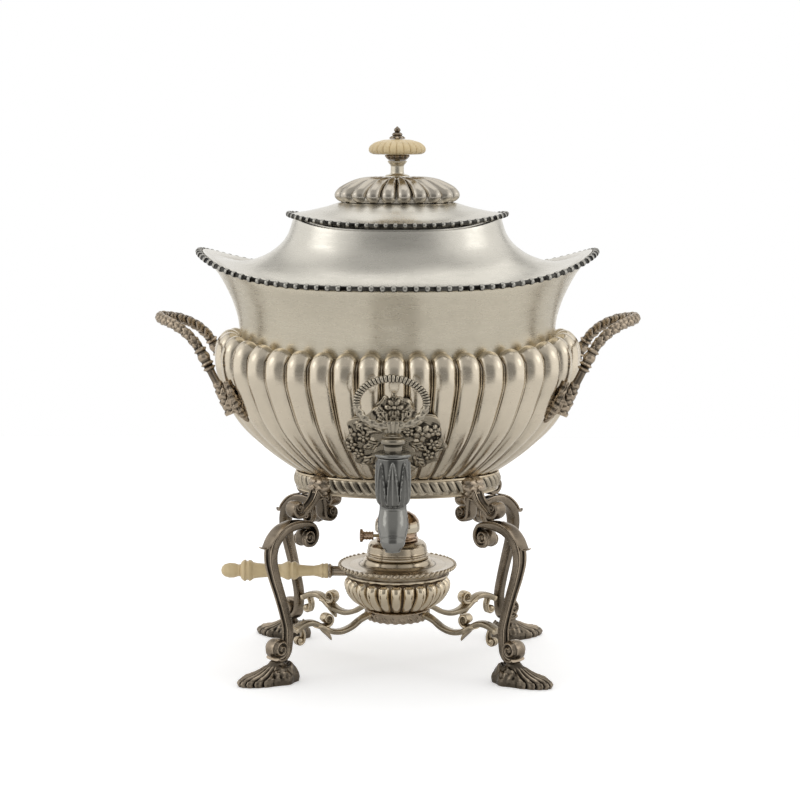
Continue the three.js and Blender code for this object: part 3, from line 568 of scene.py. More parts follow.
def cotton(name, colour):
    """Plaited wick: crossing diagonal strands, singed at the top."""
    n = material_nodes(name)
    waves = []
    for turn in (0.7, -0.7):
        wave = n.add("ShaderNodeTexWave", wave_type="BANDS")
        n.link(n.mapped("Rotation", (0.0, turn, turn)), wave.inputs["Vector"])
        wave.inputs["Scale"].default_value = 300.0
        waves.append(wave.outputs["Fac"])
    plait = n.math("MAXIMUM", *waves)
    base = n.blend(n.math("MULTIPLY", plait, 0.5), shade_of(colour, 0.6), rgba(colour))
    singed = n.spread(n.part("Z"), 0.095, 0.1005)
    base = n.blend(singed, base, (0.03, 0.025, 0.02, 1.0))
    n.relief(plait, 0.0003, 0.6)
    return n.finish(base, 0.9, 0.0)


# Where the snuffer's heat stain begins, in metres, and its tone
HEAT_STAIN = (0.1065, (0.30, 0.19, 0.10))


def finishes(s):
    """All the materials of the kettle. After a metal's name stand its bright and dark tones, its
    roughness, and then metal's low, high and cloud, the factor that brightens its edges with
    rubbed wear and a painted highlight, and cap."""
    silver, brown, cast = tuple(s.silver), tuple(s.grooves), tuple(s.cast)
    metals = {
        "plain": ("plain_silver", silver, (0.26, 0.21, 0.14), 0.24, 0.05, 0.6, 0.3),
        "neck": ("neck_silver", (0.66, 0.60, 0.48), (0.26, 0.20, 0.13), 0.24, 0.05, 0.6, 0.3),
        "lobed": ("lobed_silver", (0.68, 0.60, 0.475), brown, 0.19, 0.10, 0.8, 0.5),
        "dome": ("dome_silver", (0.50, 0.455, 0.385), (0.03, 0.022, 0.014), 0.19, 0.03, 0.26, 0.4),
        "cast": ("cast_silver", cast, (0.014, 0.011, 0.008), 0.22, 0.02, 0.2, 1.0, 2.5),
        "feet": ("foot_silver", (0.17, 0.14, 0.105), (0.008, 0.006, 0.004), 0.26, 0.0, 0.2, 1.0, 3.2),
        "light_cast": ("light_cast", (0.42, 0.35, 0.25), (0.02, 0.014, 0.009), 0.2, 0.02, 0.22, 0.9, 1.9),
        # Painted shade: the beads' silver is darker than the plain silver, for the dark room that they
        # reflect
        "bead": ("bead_silver", (0.40, 0.385, 0.345), (0.006, 0.005, 0.004), 0.1, -0.1, 0.3, 0.3, 1.0),
        "floral": ("floral_silver", (0.34, 0.295, 0.225), (0.018, 0.014, 0.01), 0.22, 0.02, 0.24, 0.6, 2.0),
        "tap": ("tap_metal", (0.155, 0.152, 0.14), (0.012, 0.012, 0.011), 0.1, 0.02, 0.2, 0.5, 2.2),
        "burner": ("burner_silver", (0.68, 0.58, 0.43), (0.055, 0.03, 0.013), 0.13, 0.08, 0.36, 0.45),
        "tray": ("tray_silver", (0.50, 0.42, 0.31), (0.04, 0.026, 0.014), 0.17, 0.03, 0.26, 0.5),
        "copper": ("worn_copper", (0.46, 0.33, 0.23), (0.05, 0.026, 0.013), 0.14, 0.04, 0.35, 0.6),
        "snuffer": ("snuffer_metal", (0.60, 0.53, 0.41), (0.07, 0.04, 0.02), 0.13, 0.04, 0.35, 0.5, 1.12,
                    HEAT_STAIN),
        "key": ("key_silver", (0.34, 0.30, 0.235), (0.008, 0.006, 0.004), 0.16, 0.0, 0.3, 0.6, 1.8),
        "brass": ("brass", (0.50, 0.39, 0.20), (0.08, 0.05, 0.02), 0.25, 0.03, 0.3, 0.5),
    }
    made = {look: metal(*row) for look, row in metals.items()}
    made["ivory"] = ivory("ivory", tuple(s.ivory), (0.30, 0.17, 0.07))
    made["cotton"] = cotton("cotton", (0.72, 0.68, 0.58))
    return made


FINISH = {}


def finish(name):
    """The named material; all are made on the first call."""
    if not FINISH:
        FINISH.update(finishes(bpy.context.scene.kettle))
    return FINISH[name]


# The urn


def millimetres(length):
    """A setting's length without the stray last digits of its 32-bit value."""
    return round(length / MM, 4)


def bowl_skin(s):
    """The lobed bowl. Each row blends the groove's profile with the crest's by lobe_swell; a thin
    fillet runs in each groove, and a plain inner wall closes the sheet."""
    turn, across = lobe_columns(s.bowl_lobes, 20)
    rows = np.concatenate([np.linspace(0, 344, 44), np.linspace(348, 400, 40)]).round().astype(int)
    crest = curve(
        [(60, 138.6), (79, 148.5), (101.5, 165.5), (121, 186.5), (133.6, 216), (135.9, 232),
         (134.4, 241.2), (130.2, 247.6), (124.6, 251.2), (118.4, 252.2)], 401)[rows]
    floor = curve(
        [(60, 138.4), (79, 148.6), (101.5, 165.6), (121, 186.5), (133.6, 216), (135.2, 229),
         (133.6, 236.4), (129.6, 241.2), (124.4, 244.2), (120, 245.6), (117, 246)], 401)[rows]
    inset = np.interp(crest[:, 1], [138, 148.5, 165.5, 186.5, 236, 250], [0, 0.4, 0.85, 1, 1, 0])
    to_top = np.linalg.norm(crest - crest[-1], axis=1)
    end = np.clip(1 - to_top / 10, 0, 1)
    swell = lobe_swell(across[None, :], end[:, None], 0.89)
    fillet = 0.3 * np.exp(-(((np.abs(across) - 1) / 0.05) ** 2))[None, :]
    rise = np.maximum(swell, fillet * smooth(to_top, 12, 22)[:, None])
    radius = mix(floor[:, 0:1], crest[:, 0:1], rise)
    radius = radius - millimetres(s.bowl_lobe_depth) * inset[:, None] * (1 - rise)
    height = mix(floor[:, 1:2], crest[:, 1:2], rise)
    outer = bowl_place(radius, height, turn[None, :])
    wall = np.array([(116.6, 245.4), (116, 244.4), (121, 240), (124, 234.6), (125, 229), (121.6, 210),
                     (110.6, 187), (90.6, 165.5), (68, 148), (58, 140.4), (30, 139.4)])
    inner = bowl_place(wall[:, 0:1], wall[:, 1:2], turn[None, :])
    stain = 0.5 * smooth(height, 215, 150) * smooth(1 - rise, 0.1, 0.6)
    shade_and_stain = np.vstack([np.broadcast_to(stain, outer.shape[:2]), np.zeros(inner.shape[:2])])
    return [shell(np.concatenate([outer, inner]), shade_and_stain=shade_and_stain)]


def neck_skin():
    """The neck: a saddle sheet that flares from behind the lobes' tips to under the rim."""
    ends = [(116.4, 244.4), (116.8, 252), (118.6, 263), (123.4, 277), (132, 293.5), (142, 306)]
    fronts = [(84.8, 236.4), (85.2, 244), (86.6, 251.5), (90, 262), (96.2, 274.5), (102.8, 286.6)]
    return [shell(saddle_sheet(ends, fronts, 30, 192), ring=True)]


def shoulder_skin():
    """The shoulder: a saddle sheet that dips from the rim and then rises to the lid's seat."""
    ends = [(143.3, 310), (132, 304), (115, 301.4), (100, 305), (88, 312.4), (80.6, 321.5), (76.3, 334)]
    fronts = [(103.6, 291), (95.5, 286.4), (84.5, 284.6), (73.5, 289.8), (65.2, 298.6), (59.5, 310),
              (55.6, 326)]
    return [shell(saddle_sheet(ends, fronts, 56, 192), ring=True)]


# Each rim's half-width, half-depth, its heights at the ends and the front, and its rise's power
URN_RIM = (146.4, 106.7, 309, 289.2, 4.0)
LID_RIM = (80.2, 59.0, 336.2, 330.2, 2.6)


def rim_line(half_width, half_depth, end_height, front_height, power, count):
    """Even points along a rim, with the frame of each: along it, outwards and up."""
    turn = np.arange(count) / count
    fine = turn[:, None] + np.array([0, 1e-4])[None, :]
    angle = oval_angle(fine)
    height = mix(front_height, end_height, saddle(angle, power))
    line = stack(half_width * np.sin(angle), -half_depth * np.cos(angle), height)
    along = line[:, 1] - line[:, 0]
    along /= np.linalg.norm(along, axis=1)[:, None]
    up = np.array([0.0, 0.0, 1.0]) - along * along[:, 2:3]
    up /= np.linalg.norm(up, axis=1)[:, None]
    return line[:, 0], np.stack([along, np.cross(along, up), up], axis=1)


def bead(length, width, height, rows=9, columns=12):
    """An egg along X with painted shade at its two ends, where the gaps between beads are, and on its
    underside.
    """
    angle = np.linspace(0.12, np.pi - 0.12, rows)[:, None]
    around = 2 * np.pi * turns(columns)[None, :]
    grid = stack(
        length * np.cos(angle),
        width * np.sin(angle) ** 0.8 * np.cos(around),
        height * np.sin(angle) ** 0.8 * np.sin(around),
    )
    # Painted shade: full at the two ends, between the beads, and lighter under the bead
    gap = 0.8 * smooth(np.abs(np.cos(angle)), 0.4, 0.85)
    under = 0.35 * smooth(-np.sin(around), 0.0, 0.9)
    return shell(grid, shade_and_stain=gap + under)


def beaded_rim(rim, count, radius):
    """A wire that follows the rim, painted dark all over as the shade in the gaps between beads, and a bead
    on it at each even step.
    """
    centres, frames = rim_line(*rim, count)
    gap = 2.0 * math.pi * math.hypot(rim[0], rim[1]) / math.sqrt(2) / count
    beads = copies(bead(gap * 0.34, radius * 0.88, radius * 0.88), centres, frames)
    line, sides = rim_line(*rim, 4 * count)
    outline = ring_section(8) * radius * 0.6
    aside = outline[None, :, 0:1] * sides[:, None, 1]
    above = outline[None, :, 1:2] * sides[:, None, 2]
    wire = line[:, None, :] + aside + above
    # The wire's full shade is painted shade: it stands for the dark gaps between the beads
    return [beads, shell(wire, ring=True, shade_and_stain=1.0)]


def husk(length, around, pitch, count):
    """Overlapping cast leaves along a bar: each rises slowly towards its tip and then falls
    sharply; its tip is pointed between the leaves beside it."""
    points = np.abs(((around * count) % 1.0) * 2 - 1)
    step = (length / pitch - 0.45 * points) % 1.0
    vein = 0.82 + 0.18 * np.cos(2 * np.pi * around * count)
    return (step**0.8) * (1 - smooth(step, 0.86, 1.0)) * vein


def loop_handle():
    """Two foliate arms that rise from the bowl and meet at the tip: a round bar whose radius has
    collars, a bulb and a plain waist on each arm, and two rows of husks along the rest."""
    arm = [(119, 38, 193), (125, 38, 206), (132.4, 38, 219.5), (138.6, 36.9, 232), (144.8, 35, 242.6),
           (153, 30.2, 250.8), (163.8, 21.6, 256.6), (172.6, 10.8, 259)]
    front = [(x, -y, z) for x, y, z in arm]
    path = curve(front + [(176.1, 0, 259.8)] + arm[::-1], 420)
    steps = np.linalg.norm(np.diff(path, axis=0), axis=1)
    length = np.concatenate([[0], np.cumsum(steps)])
    near = np.minimum(length, length[-1] - length)
    around = turns(44)
    collars = sum(np.exp(-(((near - at) / 1.1) ** 2)) for at in (37.0, 40.4, 51.6))
    bulb = np.exp(-(((near - 46.0) / 3.6) ** 2))
    leafy = smooth(near, 52, 55) + smooth(-near, -27, -23)
    radius = (2.9 + 1.9 * collars + 1.7 * bulb + 1.3 * smooth(-near, -24, -12))[:, None]
    husks = husk(near[:, None], around[None, :], 8.6, 3)
    curls = husk(near[:, None] * 1.17 + 3, 0.17 - around[None, :], 5.3, 4)
    relief = leafy[:, None] * (1.15 * husks + 0.8 * curls)
    outline = ring_section(44)[None] * (radius + relief)[..., None]
    bar = shell(sweep(path, np.array([0.5, 0, -1]), outline, 1.0, 0.95))
    return [bar] + [root for way in (-1, 1) for root in handle_root(way)]


def handle_root(way):
    """The leaves that spread over the bowl where an arm joins it: one long leaf on a curved path
    with a notched outline, and two shorter ones that turn out beside it."""
    ways = (
        ([(124.6, 0, 217), (121.0, 0, 208), (115.4, 0, 197.5), (108.4, 0, 186.5)], 6.2, 4.2, 18, 0),
        ([(121.6, 0, 209), (119.6, 0, 203), (115.2, 0, 196.5), (111.2, 0, 190)], 4.2, 3.6, 19, 4.6),
        ([(122.4, 0, 209), (120.2, 0, 203), (115.8, 0, 196.5), (111.6, 0, 190)], 4.2, 3.6, 17, -4.6),
    )
    leaves = []
    for points, half, tall, turn, aside in ways:
        path = curve(points, 44)
        share = np.linspace(0, 1, 44)
        teeth = 1 + 0.15 * np.cos(2 * np.pi * 4.5 * share)
        wide = half * np.sin(np.pi * (0.08 + 0.9 * share)) ** 0.7 * teeth
        thick = tall * np.sin(np.pi * (0.1 + 0.88 * share)) ** 0.6
        grid = np.broadcast_to(ring_section(44), (44, 44, 2)).copy()
        grid[..., 1] *= 1 + 0.28 * np.cos(5 * np.pi * grid[..., 0] + 5 * share[:, None] * np.pi)
        leaf = shell(sweep(path, np.array([0.0, 1, 0]), grid, wide, thick))
        leaves.append(moved(leaf, turned_z(way * turn), (4.4, way * (1.0 + aside), 0)))
    return leaves


def bowl_front(x, z):
    """Depth of the bowl's smooth front at a place seen from the front."""
    rows = np.array([(60, 138), (79, 148.5), (101.5, 165.5), (121, 186.5), (133.6, 213), (135.7, 227)])
    radius = np.interp(z, rows[:, 1], rows[:, 0])
    return -radius * bowl_ratio(z) * np.sqrt(np.clip(1 - (x / radius) ** 2, 0.05, 1))


def flower(x, z, at, size, petals=5, turn=0.0, tall=3.4):
    """A rosette: petals as ripples of the radius, a groove between them and a round eye."""
    dx, dz = x - at[0], z - at[1]
    radius = np.hypot(dx, dz)
    angle = np.arctan2(dz, dx) + turn
    ripple = np.abs(np.cos(petals * angle / 2))
    rim = size * (0.66 + 0.34 * ripple)
    cup = np.clip(1 - (radius / rim) ** 3, 0, None) ** 0.6 * (0.45 + 0.55 * ripple**0.7)
    cup *= 0.55 + 0.45 * smooth(radius / rim, 0.15, 0.75)
    eye = 0.95 * np.clip(1 - (radius / (0.26 * size)) ** 2, 0, None) ** 0.5
    return tall * np.maximum(cup, eye)


def leaf_relief(x, z, at, size, turn, tall=2.6):
    """A leaf along its own axis: a pointed outline with lobed sides, and veins that slant."""
    c, s = math.cos(math.radians(turn)), math.sin(math.radians(turn))
    u = ((x - at[0]) * c + (z - at[1]) * s) / size[0]
    v = (-(x - at[0]) * s + (z - at[1]) * c) / size[1]
    wave = 1 + 0.2 * np.cos(7.5 * u)
    side = np.clip(1 - np.abs(u) ** 1.7, 0, None) * wave
    inside = np.clip(1 - (np.abs(v) / np.maximum(side, 1e-3)) ** 2, 0, None)
    vein = 0.78 + 0.22 * np.cos(9 * u - 7 * np.abs(v)) - 0.35 * np.exp(-((v / 0.1) ** 2))
    return tall * inside**0.55 * vein * (side > 0.02)


# The plate's flowers: place, radius, petals and turn; and its leaves: place, half-sizes and turn
FLOWERS = (
    ((19.5, 185.5), 7.6, 5, 0.3), ((28.5, 187.5), 5.2, 5, 0.9), ((-32.0, 184.5), 5.4, 5, 0.0),
    ((-22.0, 183.0), 5.2, 6, 0.5), ((-31.0, 176.0), 4.6, 5, 1.1), ((27.0, 176.5), 5.0, 6, 0.2),
    ((10.0, 187.0), 4.2, 5, 0.7), ((-26.0, 169.5), 4.4, 5, 0.4), ((24.0, 168.0), 4.6, 5, 0.8),
    ((0.0, 205.5), 7.4, 6, 0.0),
)
LEAVES = (
    ((-17.0, 190.0), (9.5, 4.4), 160), ((10.0, 191.5), (10.5, 4.2), 20), ((-8.0, 198.5), (7.5, 4.0), 125),
    ((8.5, 199.0), (7.5, 4.0), 55), ((-11.0, 204.0), (6.5, 3.2), 160), ((11.0, 204.5), (6.5, 3.2), 15),
    ((-16.5, 176.0), (7.0, 3.8), 200), ((17.0, 175.0), (7.5, 4.0), -25), ((-19.0, 163.5), (7.5, 3.8), 225),
    ((17.5, 162.0), (7.5, 3.8), -50), ((-12.0, 157.5), (7.0, 3.4), 245), ((11.5, 156.0), (7.0, 3.4), -65),
    ((-24.5, 190.5), (5.0, 2.8), 120), ((34.0, 180.5), (4.5, 2.8), 10), ((32.0, 170.5), (5.0, 2.6), -30),
    ((-34.5, 170.0), (4.6, 2.6), 210), ((0.0, 213.5), (5.0, 2.6), 90), ((0.0, 193.0), (9.0, 6.0), 90),
)


def floral_plate():
    """The cast plate behind the tap. Its polar grid lies on the bowl's swell, its outline runs
    round the outer leaves, and its height is the highest of the flowers and leaves there."""
    centre, above, below, half_width = 179, 38.0, 27.5, 36
    turn = 2 * np.pi * turns(260)[None, :]
    share = np.linspace(0, 1, 92)[:, None] ** 0.85
    wavy = 1 + 0.045 * np.cos(11 * turn) + 0.03 * np.cos(17 * turn + 1)
    spread = half_width * wavy * (1 - 0.62 * smooth(np.cos(turn), 0.35, 0.95))
    tall = np.where(np.cos(turn) > 0, above, below) * wavy
    x = share * spread * np.sin(turn)
    z = centre + share * tall * np.cos(turn)
    height = np.full(np.broadcast(x, z).shape, 0.35)
    for at, size, petals, phase in FLOWERS:
        height = np.maximum(height, flower(x, z, at, size, petals, phase))
    for at, size, angle in LEAVES:
        height = np.maximum(height, leaf_relief(x, z, at, size, angle))
    height += 0.12 * np.sin(2.9 * x + 1.3 * z) * np.sin(2.3 * z - 1.1 * x)
    height = mix(height, -1.5, smooth(share, 0.93, 1.0))
    front = stack(x, bowl_front(x, z) - 0.3 - height, z)
    back = stack(x, bowl_front(x, z) + 2.2, z)[::-8]
    return [shell(np.concatenate([front, back]))]


# The barrel's upright axis and the height of the tube that feeds it
TAP_Y, INLET_HEIGHT = -128.0, 165
# The key ring's half-width and half-height along its middle, its centre's height and place aside
KEY_RING_WIDE, KEY_RING_TALL, KEY_RING_HEIGHT, KEY_RING_ASIDE = 23.8, 16.6, 213.4, -1.0


def along_tap(profile, columns):
    """A turned piece whose axis runs forwards from the urn through the tap's inlet."""
    grid = revolve(profile, columns)
    return stack(grid[..., 0], -grid[..., 2], grid[..., 1] + INLET_HEIGHT)


def shank_skin():
    """The tap's inlet: a plain tube with two collars near the barrel."""
    outline = moulding(
        [(4, 66), (8, 66), (8, 106.8), (9.4, 108.4), (9.4, 111.6), (8, 113.2), (8, 114.8), (4, 114.8)],
        60, 0.4)
    return [shell(along_tap(np.vstack([outline, outline[:1] - (0, 0.05)]), 40))]


def tap_barrel():
    """The barrel: a turned form with eight lancet leaves raised on it. A lancet's half-width
    shrinks with the square root of the height that is left, and its edges are ridges."""
    profile = moulding(
        [(3, 139.6), (7.4, 139.6), (9.4, 141.2), (11.6, 145.5), (12.5, 151), (12.7, 162), (12.1, 171),
         (11.9, 176), (6.6, 176)], 110, 0.8)
    turn = turns(144)[None, :]
    height = profile[:, 1:2]
    share = np.clip((height - 143) / 30, 0, 1)
    across = np.abs(((turn * 8 + 0.5) % 1.0) * 2 - 1)
    room = np.sqrt(np.clip(1 - share, 0, 1)) * 0.96
    edge = np.exp(-(((across - room) / 0.1) ** 2))
    inside = smooth(room - across, 0.0, 0.16)
    rib = np.exp(-((across / 0.09) ** 2))
    on = smooth(height, 142, 145) * smooth(-height, -175, -172)
    radius = profile[:, 0:1] - 1.0 + on * (1.0 * edge + 0.25 * inside + 0.5 * rib * inside)
    radius = np.where(profile[:, 0:1] < 8, profile[:, 0:1], radius)
    return shell(circle(radius, np.broadcast_to(height, radius.shape), turn) + (0, TAP_Y, 0))


def tap_spout():
    """The nozzle: a bulb and a narrower tip on a path that leans forward, with an inner bore."""
    path = curve([(0, 144), (0, 138), (-3, 130), (-7.2, 123), (-9.4, 117), (-9.4, 112)], 60)
    share = np.linspace(0, 1, 60)
    radius = mix(8.4, 9.5, smooth(share, 0.08, 0.36)) - 1.3 * smooth(share, 0.5, 0.74)
    radius = radius - 0.5 * smooth(share, 0.735, 0.755) - 3.0 * smooth(share, 0.76, 1.0) ** 2
    line = stack(0 * share, TAP_Y + path[:, 0], path[:, 1])
    outline = ring_section(44)
    outer = sweep(line, np.array([1.0, 0, 0]), outline, radius * 1.1, radius)
    inner = sweep(line[40:][::-1], np.array([1.0, 0, 0]), outline * (-1, 1), 4.6, 4.6)
    return shell(np.concatenate([outer, inner[:, ::-1]]))


def tap_cap_skin():
    """The cap on the barrel: a moulded ring, which the key's stem passes through."""
    cap = turned(
        [(6.6, 176.3), (12.0, 176.3), (12.9, 177.4), (12.7, 178.6), (11.2, 179.6), (8.6, 180.3),
         (6.6, 180.3)], 48, 0.35, 56)
    return [shell(cap + (0, TAP_Y, 0), ring=True)]


def key_stem():
    """Plain stem, two collars, and the fluted fan that carries the ring."""
    outline = moulding(
        [(0.3, 177), (6.2, 177), (6.4, 183.5), (7.2, 185), (8.3, 185.6), (8.6, 187.2), (8.2, 188.7),
         (6.2, 189.4), (7.0, 190.6), (5.4, 191.6), (4.6, 192.6), (5.6, 195), (7.4, 199.4), (6.0, 201),
         (0.3, 201.4)], 120, 0.3)
    turn = turns(72)[None, :]
    height = outline[:, 1:2]
    fan = smooth(height, 191.8, 193.5)
    radius = outline[:, 0:1] * (1 + 0.09 * fan * np.cos(2 * np.pi * 12 * turn))
    grid = circle(radius, height, turn)
    grid[..., 1] *= mix(1, 0.5, fan)
    return shell(grid + (0, TAP_Y, 0))


def key_ring():
    """The oval finger ring: radial flutes round its upper half, and round its lower half small
    leaves made of two crossing waves."""
    turn = turns(420)[:, None]
    around = 2 * np.pi * turns(20)[None, :]
    upper = smooth(np.cos(2 * np.pi * turn), -0.25, 0.05)
    flute = np.abs(np.sin(np.pi * 56 * turn)) ** 0.8
    leafy = np.sin(2 * np.pi * 21 * turn + 2 * np.sin(around)) * np.cos(2 * around)
    crest = 0.5 * np.exp(-(((np.mod(turn + 0.5, 1) - 0.5) / 0.012) ** 2))
    size = 2.3 + upper * (0.9 * flute - 0.35) + (1 - upper) * (0.45 * leafy + 0.25) + crest
    out, depth = size * np.cos(around), size * 0.95 * np.sin(around)
    angle = 2 * np.pi * turn
    x = (KEY_RING_WIDE + out) * np.sin(angle) + KEY_RING_ASIDE
    z = KEY_RING_HEIGHT + (KEY_RING_TALL + out) * np.cos(angle)
    # Painted shade with tarnish: the grooves between the upper flutes are darkened
    return shell(stack(x, TAP_Y + depth, z), ring=True, shade_and_stain=0.9 * upper * (1 - flute) ** 2)


# The lid


def lid_cover_skin():
    """The lid's cover: a saddle sheet from its rim up to the dome's foot."""
    ends = [(77.6, 336.6), (66, 338.5), (53, 341.4), (43, 344.4), (36, 344.6)]
    fronts = [(56.4, 330.4), (48, 333.6), (38.5, 339.2), (31, 344), (26, 344.6)]
    return [shell(saddle_sheet(ends, fronts, 36, 192, SHEET, 2.6), ring=True)]


def lid_bezel_skin():
    """The upright oval band under the lid that sits inside the urn's mouth."""
    ends, fronts = [(73.5, 319.5), (73.5, 335)], [(52.8, 311.5), (52.8, 327)]
    return [shell(saddle_sheet(ends, fronts, 8, 128, 1.0), ring=True)]


def dome_place(radius, height, turn):
    """The dome is round at its top and oval at its edge."""
    angle = oval_angle(turn)
    ratio = mix(1, 0.72, smooth(radius, 8, 34))
    return stack(radius * np.sin(angle), -radius * ratio * np.cos(angle), height)


def dome_skin(s):
    """Petals that swell from the dome's ground, with round lower ends and narrow grooves."""
    turn, across = lobe_columns(s.dome_lobes, 18, False)
    crest = curve(
        [(45.4, 344.9), (47, 348.6), (45.6, 352.8), (41, 357), (30, 361.8), (18, 363.6), (9.6, 364)], 54)
    ground = curve(
        [(41.2, 344.9), (41.8, 348.2), (40.0, 351.2), (36, 354.2), (26.4, 358.6), (17, 361.6),
         (9.6, 363)], 54)
    share = np.linspace(0, 1, 54)[:, None]
    low = np.clip(1 - share / 0.17, 0, 1)
    high = smooth(share, 0.78, 1.0)
    rise = lobe_swell(across[None, :], low, 0.92) * (1 - high)
    radius = mix(ground[:, 0:1], crest[:, 0:1], rise)
    height = mix(ground[:, 1:2], crest[:, 1:2], rise)
    outer = dome_place(radius, height, turn[None, :])
    wall = np.array([(40.5, 345.4), (38, 350), (24, 359.4), (4, 362.4)])
    inner = dome_place(wall[:, 0:1], wall[:, 1:2], turn[None, :])
    return [shell(np.concatenate([outer[::-1], inner]))]


def knob_stem_skin():
    """The knob's turned stem, wide at its foot and under the collar."""
    stem = turned(
        [(0.4, 363.6), (9.4, 363.6), (8.4, 364.6), (5.2, 365.4), (4.9, 366.6), (4.8, 371), (5.6, 372.4),
         (7.0, 373.8), (7.2, 374.6), (6.4, 375.2), (0.4, 375.2)], 70, 0.3, 48)
    return [shell(stem)]


def knob_collar_skin():
    """A cup of twelve small leaves: the radius ripples, more at the leaves' tips."""
    outline = moulding(
        [(0.4, 375.5), (6.6, 375.5), (7.6, 376.4), (9.3, 378.4), (8.6, 379.3), (0.4, 379.3)], 40, 0.25)
    turn = turns(96)[None, :]
    tip = smooth(outline[:, 0:1], 6.4, 9.2)
    ripple = np.abs(np.cos(np.pi * 12 * turn)) ** 0.7
    return [shell(circle(outline[:, 0:1] * (1 - 0.13 * tip * (1 - ripple)), outline[:, 1:2], turn))]


def knob_disc_skin(s):
    """The ivory disc: petals on its edge and top, each a round swell between fine cuts."""
    turn, across = lobe_columns(s.disc_petals, 12, False)
    outline = moulding(
        [(3.2, 379.6), (17.6, 379.6), (20.6, 381.0), (21.3, 383.2), (20.2, 385.8), (16.6, 388.4),
         (10, 390.2), (3.2, 390.6)], 60, 1.4)
    swell = lobe_swell(across[None, :], 0 * outline[:, 0:1], 1.0)
    reach = smooth(outline[:, 0:1], 7, 18)
    radius = outline[:, 0:1] - 1.5 * reach * (1 - swell)
    return [shell(circle(radius, outline[:, 1:2], turn[None, :]))]


def finial_skin():
    """The nut on the ivory disc: a small turned acorn whose lower part ripples into eight leaves."""
    outline = moulding(
        [(0.3, 390.9), (5.0, 390.9), (5.3, 391.6), (4.4, 392.6), (3.2, 393.2), (3.9, 394.2), (3.1, 395.2),
         (1.7, 395.8), (2.5, 396.9), (2.2, 398.2), (1.0, 399.2), (0.2, 399.95)], 80, 0.22)
    turn = turns(64)[None, :]
    leafy = smooth(-outline[:, 1:2], -395, -391.5)
    ripple = 1 + 0.12 * leafy * np.cos(2 * np.pi * 8 * turn)
    return [shell(circle(outline[:, 0:1] * ripple, outline[:, 1:2], turn))]


# The stand


def ring_skin():
    """The plain oval ring: a flat band with a thin bead along its top and its lower edge."""
    band = turned(
        [(69.5, 132), (75.0, 132), (75.6, 132.6), (75.2, 133.2), (75.3, 143.6), (76.4, 144.6),
         (75.8, 145.8), (73.6, 145.2), (69.5, 141.2)], 70, 0.25, 224, foot_place)
    return [shell(band, ring=True)]


def slanted_gadroons(place, radius, low, high, count, depth, slant, columns=12):
    """A band of slanting round ridges. On each the height is a power of the sine of its phase,
    fades at the band's two edges, and draws the lower edge out into a scallop."""
    across = (np.arange(count * columns) / columns)[None, :]
    share = np.linspace(0, 1, 22)[:, None]
    phase = np.mod(across + slant * (share - 0.5), 1.0)
    ridge = np.sin(np.pi * phase) ** 0.7
    reeds = 0.08 * np.cos(2 * np.pi * 4 * phase)
    fade = np.sin(np.pi * np.clip(share * 0.94 + 0.03, 0, 1)) ** 0.5
    out = radius + depth * fade * (ridge + reeds) - depth * 0.35
    scallop = 0.16 * (high - low) * (1 - ridge) * smooth(share, 0.6, 1.0)
    height = mix(high, low, share) + scallop
    turn = across / count
    outer = place(out, height, turn)
    back = radius - 1.2 * depth
    inner = place(np.array([[back], [back]]), np.array([[low + 0.6], [high - 0.3]]), turn)
    return shell(np.concatenate([outer, inner]), ring=True)


def ball(centre, size, rows=16, columns=20):
    """An egg with three half-sizes, whose poles point forwards and back."""
    angle = np.linspace(0.08, np.pi - 0.08, rows)[:, None]
    around = 2 * np.pi * turns(columns)[None, :]
    grid = stack(
        centre[0] + size[0] * np.sin(angle) * np.cos(around),
        centre[1] + size[1] * np.cos(angle),
        centre[2] + size[2] * np.sin(angle) * np.sin(around),
    )
    return shell(grid)


def volute(centre, radius, half_width, hand=1):
    """A rolled toe seen from its side: a crowned drum whose two faces carry a spiral ridge, the
    sine of radius less turn."""
    turn = turns(72)[None, :]
    shares = np.concatenate([np.linspace(0.06, 1, 26), np.ones(14), np.linspace(1, 0.06, 26)])
    side = np.concatenate([np.full(26, 1.0), np.linspace(1, -1, 14), np.full(26, -1.0)])
    spiral = np.sin(2 * np.pi * (1.9 * shares[:, None] - hand * turn))
    face = np.abs(side)[:, None] ** 8
    dome = np.sqrt(np.clip(1 - 0.55 * shares**2, 0, 1))[:, None]
    ridge = 0.13 * face * spiral * smooth(shares, 0.1, 0.3)[:, None]
    out = side[:, None] * half_width * (dome + ridge)
    crown = radius * shares[:, None] * (1 - 0.1 * side[:, None] ** 2)
    angle = 2 * np.pi * turn
    return shell(stack(centre[0] + crown * np.cos(angle), out, centre[1] + crown * np.sin(angle)))


ACROSS = np.array([0.0, 1.0, 0.0])


def leaf_bar(points, count, wide, thick, teeth=0.0):
    """A leaf of lens section along an upright path, with a pointed end and notched sides."""
    path = upright(points, count)
    share = np.linspace(0, 1, count)
    notch = 1 + 0.16 * np.cos(2 * np.pi * teeth * share) if teeth else 1.0
    outline = ring_section(28)
    outline[:, 1] -= 0.35 * np.exp(-((outline[:, 0] / 0.22) ** 2)) * (outline[:, 1] > 0)
    taper = np.sin(np.pi * (0.06 + 0.92 * share)) ** 0.6
    return shell(sweep(path, ACROSS, outline, wide * taper * notch, thick * np.maximum(taper, 0.35)))


